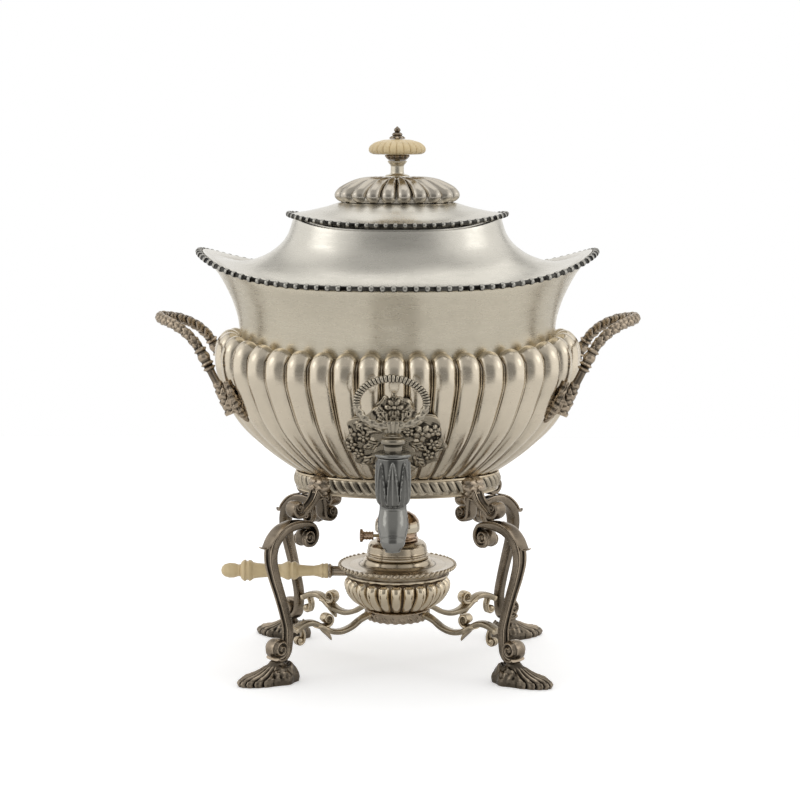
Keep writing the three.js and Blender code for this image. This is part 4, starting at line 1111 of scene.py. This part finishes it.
def leg_shells():
    """One leg in its plane: a channelled bar from the spiral eye of its top scroll to the ball
    that its end rolls up to, with a leaf that ends in a spur at the knee."""
    crest = scroll((14, 103.4), (3.4, 9.6), (385, 105), 9)
    shin = [(25, 113.2), (36.5, 109.8), (44.6, 101.5), (46.6, 91), (43.6, 78), (38.6, 64), (34, 50),
            (30.9, 37)]
    toe = scroll(TOE, (10.2, 7.4), (180, 300), 5)
    path = upright(np.vstack([crest, shin, toe]), 280)
    share = np.linspace(0, 1, 280)
    rolled = 1 - smooth(share, 0.14, 0.3)
    ended = smooth(share, 0.88, 0.98)
    wide = mix(mix(5.4, 4.1, smooth(share, 0.35, 0.75)), 6.7, np.maximum(rolled, ended))
    thick = mix(mix(3.7, 3.1, smooth(share, 0.35, 0.8)), 1.6, np.maximum(rolled, ended))
    bar = shell(sweep(path, -ACROSS, channel_section(64, 0.5), wide, thick))
    eye = volute((13.8, 103.2), 6.3, 6.4)
    spur = [(29, 117.0), (38, 113.6), (45.5, 107.4), (50.2, 102.0), (53, 100.2), (57, 101.6)]
    return [bar, eye, leaf_bar(spur, 70, 5.6, 1.4), volute(TOE, 7.6, 6.9)]


def foot_shells():
    """A shell foot round the point under its leg's toe: rows run from its neck to its edge and
    columns round it. Thin ridges fan out over its front to a thick scalloped edge; a rosette
    stands on each side and a lump at the heel."""
    angle = 2 * np.pi * turns(240)[None, :]
    rows = moulding(
        [(0.02, 17.2), (0.2, 16.6), (0.3, 13.4), (0.46, 10.4), (0.66, 8.0), (0.86, 6.9), (0.96, 5.6),
         (1.0, 3.2), (0.96, 0.0), (0.05, 0.0)], 120, 0.25)
    share, height = rows[:, 0:1], rows[:, 1:2]
    forward, aside = np.cos(angle), np.sin(angle)
    ahead = smooth(forward, 0.1, 0.6)
    reach = mix(16.5, 31.5, smooth(forward, -0.3, 0.35))
    ridge = np.abs(np.cos(11 * angle))
    edge = smooth(share, 0.6, 1.0)
    scallop = 1 + edge * (-0.09 * ahead * (1 - ridge) ** 2 + 0.06 * (1 - ahead) * np.cos(7 * angle))
    fan = 2.0 * ahead * smooth(share, 0.24, 0.42) * smooth(-share, -0.95, -0.82) * (ridge**4 - 0.4)
    spot = ((share - 0.62) / 0.17) ** 2 + ((1 - np.abs(aside)) / 0.07) ** 2
    rosettes = 3.2 * np.exp(-spot) - 3.2 * np.exp(-5 * spot)
    heel = 5.6 * np.exp(-(((share - 0.66) / 0.2) ** 2)) * smooth(-forward, 0.25, 0.85)
    x = share * scallop * reach * forward - 2 * (1 - share)
    y = 13.4 * share**0.85 * scallop * aside
    lumps = 0.8 * np.sin(0.9 * x + 0.7 * y + 1) * np.sin(0.8 * y - 0.5 * x)
    lumps = lumps * (1 - ahead) * smooth(share, 0.25, 0.5)
    above = smooth(height, 0.3, 2.4)
    z = height * (1 - 0.2 * ahead * share) + above * (fan + rosettes + heel + lumps)
    return [shell(stack(x, y, np.maximum(z, 0.0)))]


def bracket_shells():
    """The corner of the ring: a cap of leaves, an outer scroll that rests on the leg, and an
    inner scroll with three ridges."""
    outward_roll = scroll((22, 126.3), (8, 3.4), (210, 430), 8)
    inward_roll = scroll((-9.9, 119.2), (6.6, 2.6), (-10, -300), 9)
    outer = upright(np.vstack([[(1, 143), (2.4, 136), (6.8, 128.6)], outward_roll]), 110)
    inner = upright(np.vstack([[(1, 142), (-1, 136), (-2.6, 126)], inward_roll]), 110)
    share = np.linspace(0, 1, 110)
    wide = mix(5.6, 5.0, share)
    curls = [
        shell(sweep(outer, -ACROSS, channel_section(48, 0.4), wide, mix(2.8, 1.4, share))),
        shell(sweep(inner, ACROSS, fluted_section(48, 3, 0.5), wide, mix(2.5, 1.3, share))),
    ]
    eyes = [volute((22.3, 126.6), 4.6, 5.4), volute((-9.9, 119.4), 4.3, 5.2)]
    leaves = []
    for turn in (-62, -32, 0, 32, 62):
        aside = abs(turn) // 31
        wide, low = ((7.0, 128.0), (6.2, 129.5), (5.2, 131.5))[aside]
        points = [(1.6, 146.6), (5.6, 144.2), (7.2, 138.5), (5.4, low + 3), (7.4, low)]
        leaves.append(moved(leaf_bar(points, 44, wide, 1.5, 4), turned_z(turn), (-3.5, 0, 0)))
    return curls + eyes + leaves


def stretcher_shells():
    """One arm from a leg to the burner ring: a strip with a central rib, a leaf that curls up from
    it, a spur below, and a curl under the leg's end."""
    main = [(91.6, 34.8), (84, 38.2), (76, 38.6), (68, 34.5), (60, 30.2), (51, 28.6), (42, 30.6), (34, 35),
            (26.2, 38)]
    path = upright(main, 120)
    share = np.linspace(0, 1, 120)
    knot = 1.6 * np.exp(-(((share - 0.42) / 0.07) ** 2))
    wide = 4.1 - 0.9 * share + knot + 1.0 * smooth(share, 0.86, 0.98)
    thick = mix(2.5, 1.9, share)
    bar = shell(sweep(path, -ACROSS, channel_section(48, 0.35), wide, thick))
    curl = np.vstack([[(73, 36.2), (66.6, 34.9)], scroll((64, 39.9), (4.6, 1.8), (250, -40), 7)])
    spur = [(69, 33.4), (64.5, 29.8), (61.6, 26.8), (59.4, 23.4)]
    drop = np.vstack([[(86, 37), (84, 31.4)], scroll((87.6, 27.4), (3.4, 1.4), (180, 430), 7)])
    small = upright(curl, 70)
    low = upright(drop, 60)
    taper = np.linspace(0, 1, 70)
    return [
        bar,
        shell(sweep(small, ACROSS, fluted_section(28, 2, 0.25), 4.2, mix(1.9, 1.3, taper))),
        shell(sweep(low, ACROSS, fluted_section(28, 2, 0.25), 3.4, 1.4)),
        volute((64, 39.7), 2.9, 4.4),
        ball((87.6, 0, 27.4), (2.8, 3.8, 2.8)),
        leaf_bar(spur, 30, 3.6, 1.4),
    ]


# The burner


def burner_bowl_skin(s):
    """Lobes with round tops under a frieze whose lower edge is cut into arches."""
    turn, across = lobe_columns(s.burner_lobes, 14)
    crest = curve(
        [(19, 36.6), (23.4, 40.7), (29, 43.0), (34.5, 47), (38.6, 52.5), (40, 57.5), (39.2, 61.8),
         (37.2, 64.4)], 46)
    ground = curve(
        [(19, 36.5), (23.2, 40.8), (27, 44.4), (31.2, 49), (34.6, 53.6), (35.8, 57.6), (36.0, 61.4),
         (36.4, 64.4)], 46)
    to_top = np.linalg.norm(crest[::-1] - crest[-1], axis=1)[::-1]
    end = np.clip(1 - to_top / 4.5, 0, 1)
    rise = lobe_swell(across[None, :], end[:, None], 0.88)
    rise = rise * smooth(crest[:, 0:1], 22, 28)
    radius, height = (mix(ground[:, i:i + 1], crest[:, i:i + 1], rise) for i in (0, 1))
    lobes = circle(radius, height, turn[None, :])
    frieze = moulding(
        [(37.0, 64.8), (39.4, 66.2), (39.2, 68), (41.0, 70.4), (42.4, 71.7), (40, 71.7)], 26, 0.3)
    upper = circle(frieze[:, 0:1], frieze[:, 1:2], turn[None, :])
    arch = 0.5 * smooth(frieze[:, 1:2], 70, 65) * np.abs(across[None, :]) ** 3
    upper[..., 2] += arch * 2.4 * smooth(frieze[:, 1:2], 67, 64.6)
    wall = np.array([(38, 71.0), (35.4, 61), (34.8, 55), (25.5, 43.6), (15, 37.9)])
    inner = circle(wall[:, 0:1], wall[:, 1:2], turn[None, :])
    shade_and_stain = np.zeros(len(lobes) + len(upper) + len(inner))
    shade_and_stain[len(lobes):len(lobes) + len(upper)] = 0.22
    return [shell(np.concatenate([lobes, upper, inner]), shade_and_stain=shade_and_stain[:, None])]


def burner_tray_skin():
    """The dished tray that rises to the burner's shoulder, with slanting beads round its rim."""
    tray = turned(
        [(24.8, 71.9), (43.0, 71.9), (43.8, 72.8), (43.4, 74.0), (41.6, 73.9), (36, 73.3), (28.5, 73.6),
         (26.2, 75.4), (24.6, 78.3), (19.4, 78.4), (19.4, 77.2), (23.2, 76.6), (25.2, 73.2)], 90, 0.35, 96)
    count, rim, height, lean = 58, 43.3, 73.0, 0.45
    turn = 2 * np.pi * turns(count)
    centres = stack(rim * np.sin(turn), -rim * np.cos(turn), height)
    along = stack(np.cos(turn), np.sin(turn), 0 * turn)
    out = stack(np.sin(turn), -np.cos(turn), 0 * turn)
    up = stack(0 * turn, 0 * turn, 1 + 0 * turn)
    slant = np.stack([along + lean * up, out, up - lean * along], axis=1)
    beads = copies(bead(2.3, 1.5, 1.35, 7, 10), centres, slant)
    return [shell(tray, ring=True), beads]


def burner_drum_skin():
    """The turned drum on the tray: a moulded foot, a plain wall and a rounded shoulder."""
    drum = turned(
        [(18, 78.7), (23.2, 78.7), (23.6, 79.5), (23.6, 81.0), (22.6, 81.8), (22.5, 82.6), (22.9, 83.4),
         (22.4, 84.4), (21.9, 88.2), (20.4, 90.2), (17.4, 91.6), (13.2, 92), (13.2, 90.6), (16.8, 90.2),
         (18.4, 88.6)], 110, 0.25, 96)
    return [shell(drum, ring=True)]


def burner_neck_skin():
    """The copper band round the wick tube, with two thin ridges."""
    neck = turned(
        [(11.4, 92.3), (15.4, 92.3), (15.9, 93.2), (15.3, 94.2), (14.7, 94.8), (15.1, 95.6), (14.7, 96.4),
         (14.6, 98.9), (13.1, 98.9), (13, 94.8), (11.4, 94.6)], 80, 0.2, 72)
    return [shell(neck, ring=True)]


def snuffer_skin():
    """The round cap over the wick, with the two ears at its back that its hinge pin passes."""
    cap = turned(
        [(15.1, 98.3), (16.0, 98.3), (16.9, 99.6), (17, 103.2), (16.2, 107), (13.6, 110.6), (9.4, 113.2),
         (4.6, 114.5), (0.2, 114.7), (0.2, 113.6), (9, 112), (13, 109.4), (15.4, 105.4), (15.6, 100.6)],
        96, 0.5, 72)
    parts = [shell(cap, ring=True)]
    for aside in (-2.7, 2.7):
        arm = upright([(15.4, 100.4), (18, 100.4), (20, 98.4), (20, 95)], 24) + (0, aside, 0)
        parts.append(shell(sweep(arm, ACROSS, ring_section(16, 0.5), 0.7, 1.3)))
        eye = turned([(1.05, -0.7), (2.2, -0.7), (2.2, 0.7), (1.05, 0.7)], 20, 0.1, 28)
        parts.append(moved(shell(eye, ring=True), LYING_Y, (20, aside, 95)))
    return [moved(one, turned_z(90)) for one in parts]


# The grip's free end, its length and the height of its axis
GRIP_END, GRIP_LENGTH, GRIP_HEIGHT = -133, 81, 67.8


def grip_skin():
    """The turned ivory grip, from its acorn end to the collar at the tang."""
    grip = turned(
        [(0.2, 0), (2.6, 0.6), (4.6, 2.6), (5.7, 6.4), (5.5, 10), (4.5, 13), (4.6, 14.6), (6.6, 15.6),
         (7.8, 17), (8.3, 18.2), (7.3, 19.1), (7.2, 20.4), (8.1, 21.4), (7.6, 23), (6.2, 24.4), (5.6, 28),
         (5.0, 36), (4.9, 45.6), (5.8, 47.4), (6.9, 49.6), (7.1, 51.4), (6.2, 52.6), (6.3, 53.6),
         (7.1, 54.8), (6.4, 57), (4.6, 59), (4.1, 64), (3.8, 70), (4.7, 74.6), (5.7, 76.6), (5.2, 77.8),
         (5.7, 79), (5.5, GRIP_LENGTH), (0.2, GRIP_LENGTH)], 260, 0.35, 56)
    return [moved(shell(grip), LYING_X, (GRIP_END, 0, GRIP_HEIGHT))]


def tang_skin():
    """The metal socket of the grip: a collar and a plain rod that joins the burner."""
    tang = turned(
        [(0.2, 0.3), (5.2, 0.3), (5.5, 1.0), (5.3, 2.0), (4.2, 2.6), (3.8, 3.6), (3.8, 13.6), (0.2, 13.6)],
        60, 0.25, 40)
    return [moved(shell(tang), LYING_X, (GRIP_END + GRIP_LENGTH, 0, GRIP_HEIGHT))]


def winder_knob_skin():
    """The wick's winder: a flared knob with a milled edge."""
    outline = moulding(
        [(1.4, 0), (2.9, 0), (3.3, 0.7), (2.9, 1.4), (2.9, 2.2), (3.3, 2.9), (2.9, 3.6), (2.9, 4.4),
         (3.3, 5.1), (2.9, 5.8), (3.0, 7.2), (4.7, 8.2), (4.9, 9.2), (4.8, 10), (3.4, 10.3), (1.4, 9.6)],
        90, 0.15)
    turn = turns(96)[None, :]
    milled = smooth(outline[:, 0:1], 4.2, 4.7)
    radius = outline[:, 0:1] * (1 - 0.05 * milled * (0.5 + 0.5 * np.cos(2 * np.pi * 24 * turn)))
    knob = shell(circle(radius, outline[:, 1:2], turn), ring=True)
    return [moved(knob, [[0, 0, -1], [0, 1, 0], [1, 0, 0]], (-17.6, -7.7, 96.5))]


# What a user would change


class KettleSettings(bpy.types.PropertyGroup):
    """Tones, counts and sizes of the kettle and its studio"""

    silver: bpy.props.FloatVectorProperty(
        name="Silver", description="Tone of the plain silver", subtype="COLOR", size=3,
        default=(0.66, 0.63, 0.56), min=0, max=1)
    grooves: bpy.props.FloatVectorProperty(
        name="Grooves", description="Tone of the tarnish between the lobes", subtype="COLOR", size=3,
        default=(0.10, 0.066, 0.036), min=0, max=1)
    cast: bpy.props.FloatVectorProperty(
        name="Cast silver", description="Tone of the legs, feet and handles", subtype="COLOR", size=3,
        default=(0.26, 0.212, 0.158), min=0, max=1)
    ivory: bpy.props.FloatVectorProperty(
        name="Ivory", description="Tone of the knob and the grip", subtype="COLOR", size=3,
        default=(0.65, 0.51, 0.285), min=0, max=1)
    bowl_lobes: bpy.props.IntProperty(
        name="Bowl lobes", description="Lobes round the urn's bowl", default=40, min=8)
    bowl_lobe_depth: bpy.props.FloatProperty(
        name="Lobe depth", description="Depth of the grooves between the bowl's lobes",
        subtype="DISTANCE", unit="LENGTH", default=6.0 * MM, min=0)
    dome_lobes: bpy.props.IntProperty(
        name="Dome lobes", description="Petals round the lid's dome", default=20, min=6)
    disc_petals: bpy.props.IntProperty(
        name="Disc petals", description="Petals round the ivory disc", default=24, min=6)
    burner_lobes: bpy.props.IntProperty(
        name="Burner lobes", description="Lobes round the burner's bowl", default=24, min=6)
    rim_beads: bpy.props.IntProperty(
        name="Rim beads", description="Beads round the urn's rim", default=104, min=12)
    rim_bead_radius: bpy.props.FloatProperty(
        name="Rim bead radius", description="Half the height of a bead on the urn's rim",
        subtype="DISTANCE", unit="LENGTH", default=2.7 * MM, min=0)
    lid_bead_radius: bpy.props.FloatProperty(
        name="Lid bead radius", description="Half the height of a bead on the lid's rim",
        subtype="DISTANCE", unit="LENGTH", default=2.3 * MM, min=0)
    lid_beads: bpy.props.IntProperty(
        name="Lid beads", description="Beads round the lid's rim", default=64, min=12)
    ring_gadroons: bpy.props.IntProperty(
        name="Ring gadroons", description="Slanting ridges round the stand's ring", default=62, min=12)
    floor_tone: bpy.props.FloatVectorProperty(
        name="Floor", description="Tone of the floor", subtype="COLOR", size=3,
        default=(0.93, 0.93, 0.93), min=0, max=1)
    front_tone: bpy.props.FloatProperty(
        name="Room in front", description="Brightness of the room beside and behind the camera",
        default=0.56, min=0)


class AddUrnSkins(bpy.types.Operator):
    """The urn's lobed bowl, flared neck, saddle-shaped shoulder and beaded rim"""

    bl_idname = "kettle.urn"
    bl_label = "Urn"
    bl_options = {"REGISTER", "UNDO"}

    def execute(self, context):
        s = context.scene.kettle
        beads = beaded_rim(URN_RIM, s.rim_beads, millimetres(s.rim_bead_radius))
        dress(
            "urn",
            ("bowl", bowl_skin(s), "urn_bowl", "lobed_silver", "lobed", 14),
            ("neck", neck_skin(), "urn_neck", "polished_silver", "neck"),
            ("shoulder", shoulder_skin(), "urn_shoulder", "polished_silver", "plain"),
            ("rim_beads", beads, "rim_beading", "dark_beading", "bead", 1),
        )
        return {"FINISHED"}


class AddHandles(bpy.types.Operator):
    """The two foliate loop handles"""

    bl_idname = "kettle.handles"
    bl_label = "Handles"
    bl_options = {"REGISTER", "UNDO"}

    def execute(self, context):
        right = loop_handle()
        left = [moved(one, turned_z(180)) for one in right]
        dress(
            "urn",
            ("loop_right", right, "handle_right", "cast_silver", "cast"),
            ("loop_left", left, "handle_left", "cast_silver", "cast"),
        )
        return {"FINISHED"}


class AddTap(bpy.types.Operator):
    """The tap, its floral plate and its key"""

    bl_idname = "kettle.tap"
    bl_label = "Tap"
    bl_options = {"REGISTER", "UNDO"}

    def execute(self, context):
        dress(
            "urn",
            ("floral_plate", floral_plate(), "tap_escutcheon", "cast_silver", "floral", 6, 60),
            ("shank", shank_skin(), "tap_shank", "tap_metal", "tap"),
            ("barrel", [tap_barrel(), tap_spout()], "tap_body", "tap_metal", "tap"),
            ("barrel_cap", tap_cap_skin(), "tap_cap", "tap_metal", "tap"),
        )
        dress("key", ("finger_ring", [key_stem(), key_ring()], "tap_key", "cast_silver", "key", 3))
        return {"FINISHED"}


class AddLid(bpy.types.Operator):
    """The lid with its beads, petalled dome and ivory knob"""

    bl_idname = "kettle.lid"
    bl_label = "Lid"
    bl_options = {"REGISTER", "UNDO"}

    def execute(self, context):
        s = context.scene.kettle
        beads = beaded_rim(LID_RIM, s.lid_beads, millimetres(s.lid_bead_radius))
        dress(
            "lid",
            ("cover", lid_cover_skin(), "lid_cover", "polished_silver", "plain"),
            ("lid_beads", beads, "lid_beading", "dark_beading", "bead", 1),
            ("bezel", lid_bezel_skin(), "lid_bezel", "polished_silver", "plain"),
            ("dome", dome_skin(s), "lid_dome", "lobed_silver", "dome", 10),
            ("stem", knob_stem_skin(), "knob_stem", "polished_silver", "neck"),
            ("collar", knob_collar_skin(), "knob_collar", "cast_silver", "cast", 5),
            ("ivory_disc", knob_disc_skin(s), "knob_disc", "ivory", "ivory", 5),
            ("finial", finial_skin(), "knob_finial", "dark_beading", "cast", 5),
        )
        return {"FINISHED"}


class AddStand(bpy.types.Operator):
    """The oval ring, its gadroons, the burner's ring and the four corners"""

    bl_idname = "kettle.stand"
    bl_label = "Stand"
    bl_options = {"REGISTER", "UNDO"}

    def execute(self, context):
        s = context.scene.kettle
        band = slanted_gadroons(foot_place, 75.8, 134.4, 144.4, s.ring_gadroons, 2.4, -0.8)
        low_band = slanted_gadroons(circle, 23.4, 32.0, 39.8, 24, 2.0, -0.7)
        seat = turned([(21.6, 33), (23.4, 32.6), (24.9, 39.6), (24.4, 40.2), (21.6, 38.6)], 30, 0.2, 72)
        dress(
            "stand",
            ("ring", ring_skin(), "stand_ring", "polished_silver", "light_cast"),
            ("gadroons", [band], "gadroon_border", "dark_beading", "floral", 6),
            ("burner_seat", [low_band, shell(seat, ring=True)], "burner_ring", "cast_silver", "cast", 6),
        )
        leg = math.radians(LEG_HEADING)
        toe_at = CORNER_AT + TOE[0] * np.array([math.cos(leg), math.sin(leg)])
        kinds = (
            ("leg", leg_shells(), LEG_HEADING, CORNER_AT, "cast"),
            ("foot", foot_shells(), FOOT_HEADING, toe_at, "feet"),
            ("bracket", bracket_shells(), LEG_HEADING, CORNER_AT, "cast"),
            ("stretcher", stretcher_shells(), ARM_HEADING, (0, 0), "light_cast"),
        )
        for name, side, end in CORNERS:
            for kind, shells, heading, origin, look in kinds:
                turn = turned_z(end * heading if side > 0 else 180 - end * heading)
                shift = (side * origin[0], end * origin[1], 0)
                placed = [moved(one, turn, shift) for one in shells]
                dress("stand", (f"{kind}.{name}", placed, f"{kind}_{name}", "cast_silver", look, 6))
        return {"FINISHED"}


class AddBurner(bpy.types.Operator):
    """The spirit burner with its handle, wick winder and snuffer"""

    bl_idname = "kettle.burner"
    bl_label = "Burner"
    bl_options = {"REGISTER", "UNDO"}

    def execute(self, context):
        s = context.scene.kettle
        dress(
            "burner",
            ("reservoir", burner_bowl_skin(s), "burner_bowl", "lobed_silver", "burner", 10),
            ("tray", burner_tray_skin(), "burner_tray", "polished_silver", "tray"),
            ("drum", burner_drum_skin(), "burner_drum", "polished_silver", "tray"),
            ("copper_band", burner_neck_skin(), "burner_neck", "worn_copper", "copper"),
            ("tang", tang_skin(), "handle_tang", "cast_silver", "cast"),
            ("grip", grip_skin(), "handle_grip", "ivory", "ivory"),
        )
        dress("wick_winder", ("winder_knob", winder_knob_skin(), "wick_knob", "worn_copper", "copper", 5))
        dress("snuffer", ("snuffer", snuffer_skin(), "snuffer_cap", "worn_copper", "snuffer", 6))
        return {"FINISHED"}


class FinishPlainNodes(bpy.types.Operator):
    """Gives the frame's own small parts their materials"""

    bl_idname = "kettle.nodes"
    bl_label = "Small parts"
    bl_options = {"REGISTER", "UNDO"}

    def execute(self, context):
        looks = {
            "brass": ("knob_bolt", "wick_tube", "wick_spindle", "hinge_pin"),
            "copper": ("hinge_lug",),
            "tap": ("tap_plug",),
            "cotton": ("wick",),
        }
        for look, names in looks.items():
            for name in names:
                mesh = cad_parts[name].data
                mesh.materials.clear()
                mesh.materials.append(finish(look))
        return {"FINISHED"}


class AddStudio(bpy.types.Operator):
    """A pale floor, a plain room of soft light, and the camera"""

    bl_idname = "kettle.studio"
    bl_label = "Studio"
    bl_options = {"REGISTER", "UNDO"}

    def execute(self, context):
        s = context.scene.kettle
        floor(s)
        room(s)
        lamps()
        camera()
        return {"FINISHED"}


def floor(s):
    """A square plane. Its own glow shows only to the camera, and it is duller in reflections."""
    half, glow, dulled = 1.1, 0.32, 0.88
    mesh = bpy.data.meshes.new("floor")
    corners = [(-half, -half, 0), (half, -half, 0), (half, half, 0), (-half, half, 0)]
    mesh.from_pydata(corners, [], [(0, 1, 2, 3)])
    plane = add_object("floor", mesh)
    n = material_nodes("floor")
    n.surface.inputs["Specular IOR Level"].default_value = 0.0
    rays = n.add("ShaderNodeLightPath").outputs
    n.link(rgba(s.floor_tone), n.surface.inputs["Emission Color"])
    n.link(n.math("MULTIPLY", rays["Is Camera Ray"], glow), n.surface.inputs["Emission Strength"])
    tone = n.blend(rays["Is Glossy Ray"], rgba(s.floor_tone), shade_of(s.floor_tone, dulled))
    mesh.materials.append(n.finish(tone, 0.9, 0.0))


def room(s):
    """White to the camera. To everything else the room is white behind the object and high on
    both sides, duller overhead and in front, and dark round the camera, with a narrow dark
    edge where the back begins. Directions are shares of 1 to the right, backwards and up."""
    world = bpy.data.worlds.new("studio")
    bpy.context.scene.world = world
    n = Nodes(world, "Generated")
    across, back, up = (n.part(axis) for axis in "XYZ")

    def times(a, b):
        """The product of two sockets or constants."""
        return n.math("MULTIPLY", a, b)

    def less(value, share):
        """What is left of 1 when a share of the value is taken off."""
        return n.math("SUBTRACT", 1.0, times(value, share))

    behind = n.spread(back, 0.74, 0.78)
    beside = times(n.spread(n.math("ABSOLUTE", across), 0.42, 0.72), n.spread(up, -0.36, -0.24))
    edge = times(n.spread(back, 0.62, 0.68), n.spread(back, 0.78, 0.72))
    edge = times(edge, n.spread(up, 0.55, 0.35))
    near = times(n.spread(back, -0.72, -0.94), n.spread(n.math("ABSOLUTE", up), 0.6, 0.3))
    bright = n.math("MAXIMUM", behind, beside)
    strength = n.math("ADD", times(bright, 1.05 - s.front_tone), s.front_tone)
    strength = times(times(strength, less(edge, 0.62)), less(near, 0.5))
    rays = n.add("ShaderNodeLightPath").outputs
    for ray, seen in (("Is Diffuse Ray", 0.8), ("Is Camera Ray", 1.0)):
        change = times(rays[ray], n.math("SUBTRACT", seen, strength))
        strength = n.math("ADD", strength, change)
    surface = n.tree.nodes["Background"].inputs
    n.link(strength, surface["Strength"])
    surface["Color"].default_value = (1, 1, 1, 1)


def lamps():
    """Two soft boxes beside the camera and one above, each aimed at the urn."""
    boxes = (
        ("left_box", (-2.2, -0.8, 1.4), 1.0, 2.8),
        ("right_box", (2.3, -0.6, 1.3), 1.0, 2.4),
        ("top_box", (0.1, 0.3, 2.2), 2.2, 10.0),
    )
    for name, place, size, power in boxes:
        data = bpy.data.lights.new(name, "AREA")
        data.shape = "SQUARE"
        data.size = size
        data.energy = power
        aim(add_object(name, data), place, (0, 0, 0.2))


def aim(thing, place, at):
    """Puts a lamp or camera at a place, looking at a point along its own -Z with Y upwards."""
    x, y, z = np.subtract(at, place)
    thing.location = place
    thing.rotation_euler = (math.atan2(math.hypot(x, y), -z), 0.0, math.atan2(-x, y))


def camera():
    """The photograph's camera: 1.49 m away and 0.40 m up, looking 8 degrees down."""
    away, height, looked_at, turn = 1.4911, 0.40107, 0.1979, math.radians(1.3)
    data = bpy.data.cameras.new("camera")
    data.lens = 90.9
    data.sensor_width = 36.0
    data.shift_x = 0.0034
    view = add_object("camera", data)
    place = (away * math.sin(turn), AXIS[1] - away * math.cos(turn), height)
    aim(view, place, (0, AXIS[1], looked_at))
    bpy.context.scene.camera = view


class KettlePanel(bpy.types.Panel):
    """The settings and the pieces, in the sidebar"""

    bl_idname = "VIEW3D_PT_kettle"
    bl_label = "Tea kettle"
    bl_space_type = "VIEW_3D"
    bl_region_type = "UI"
    bl_category = "Kettle"

    def draw(self, context):
        for name in KettleSettings.__annotations__:
            self.layout.prop(context.scene.kettle, name)
        for operator in OPERATORS:
            self.layout.operator(operator.bl_idname)


OPERATORS = (AddUrnSkins, AddHandles, AddTap, AddLid, AddStand, AddBurner, FinishPlainNodes, AddStudio)
CLASSES = (KettleSettings, *OPERATORS, KettlePanel)


def register():
    """Adds the settings, the operators and the panel to Blender."""
    for one in CLASSES:
        bpy.utils.register_class(one)
    bpy.types.Scene.kettle = bpy.props.PointerProperty(type=KettleSettings)


def unregister():
    """Takes them out again."""
    del bpy.types.Scene.kettle
    for one in reversed(CLASSES):
        bpy.utils.unregister_class(one)


def main():
    """Makes every piece and the studio."""
    register()
    for operator in OPERATORS:
        family, name = operator.bl_idname.split(".")
        getattr(getattr(bpy.ops, family), name)()
    bpy.context.scene.view_settings.view_transform = "Standard"
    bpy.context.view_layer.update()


if __name__ == "__main__":
    main()
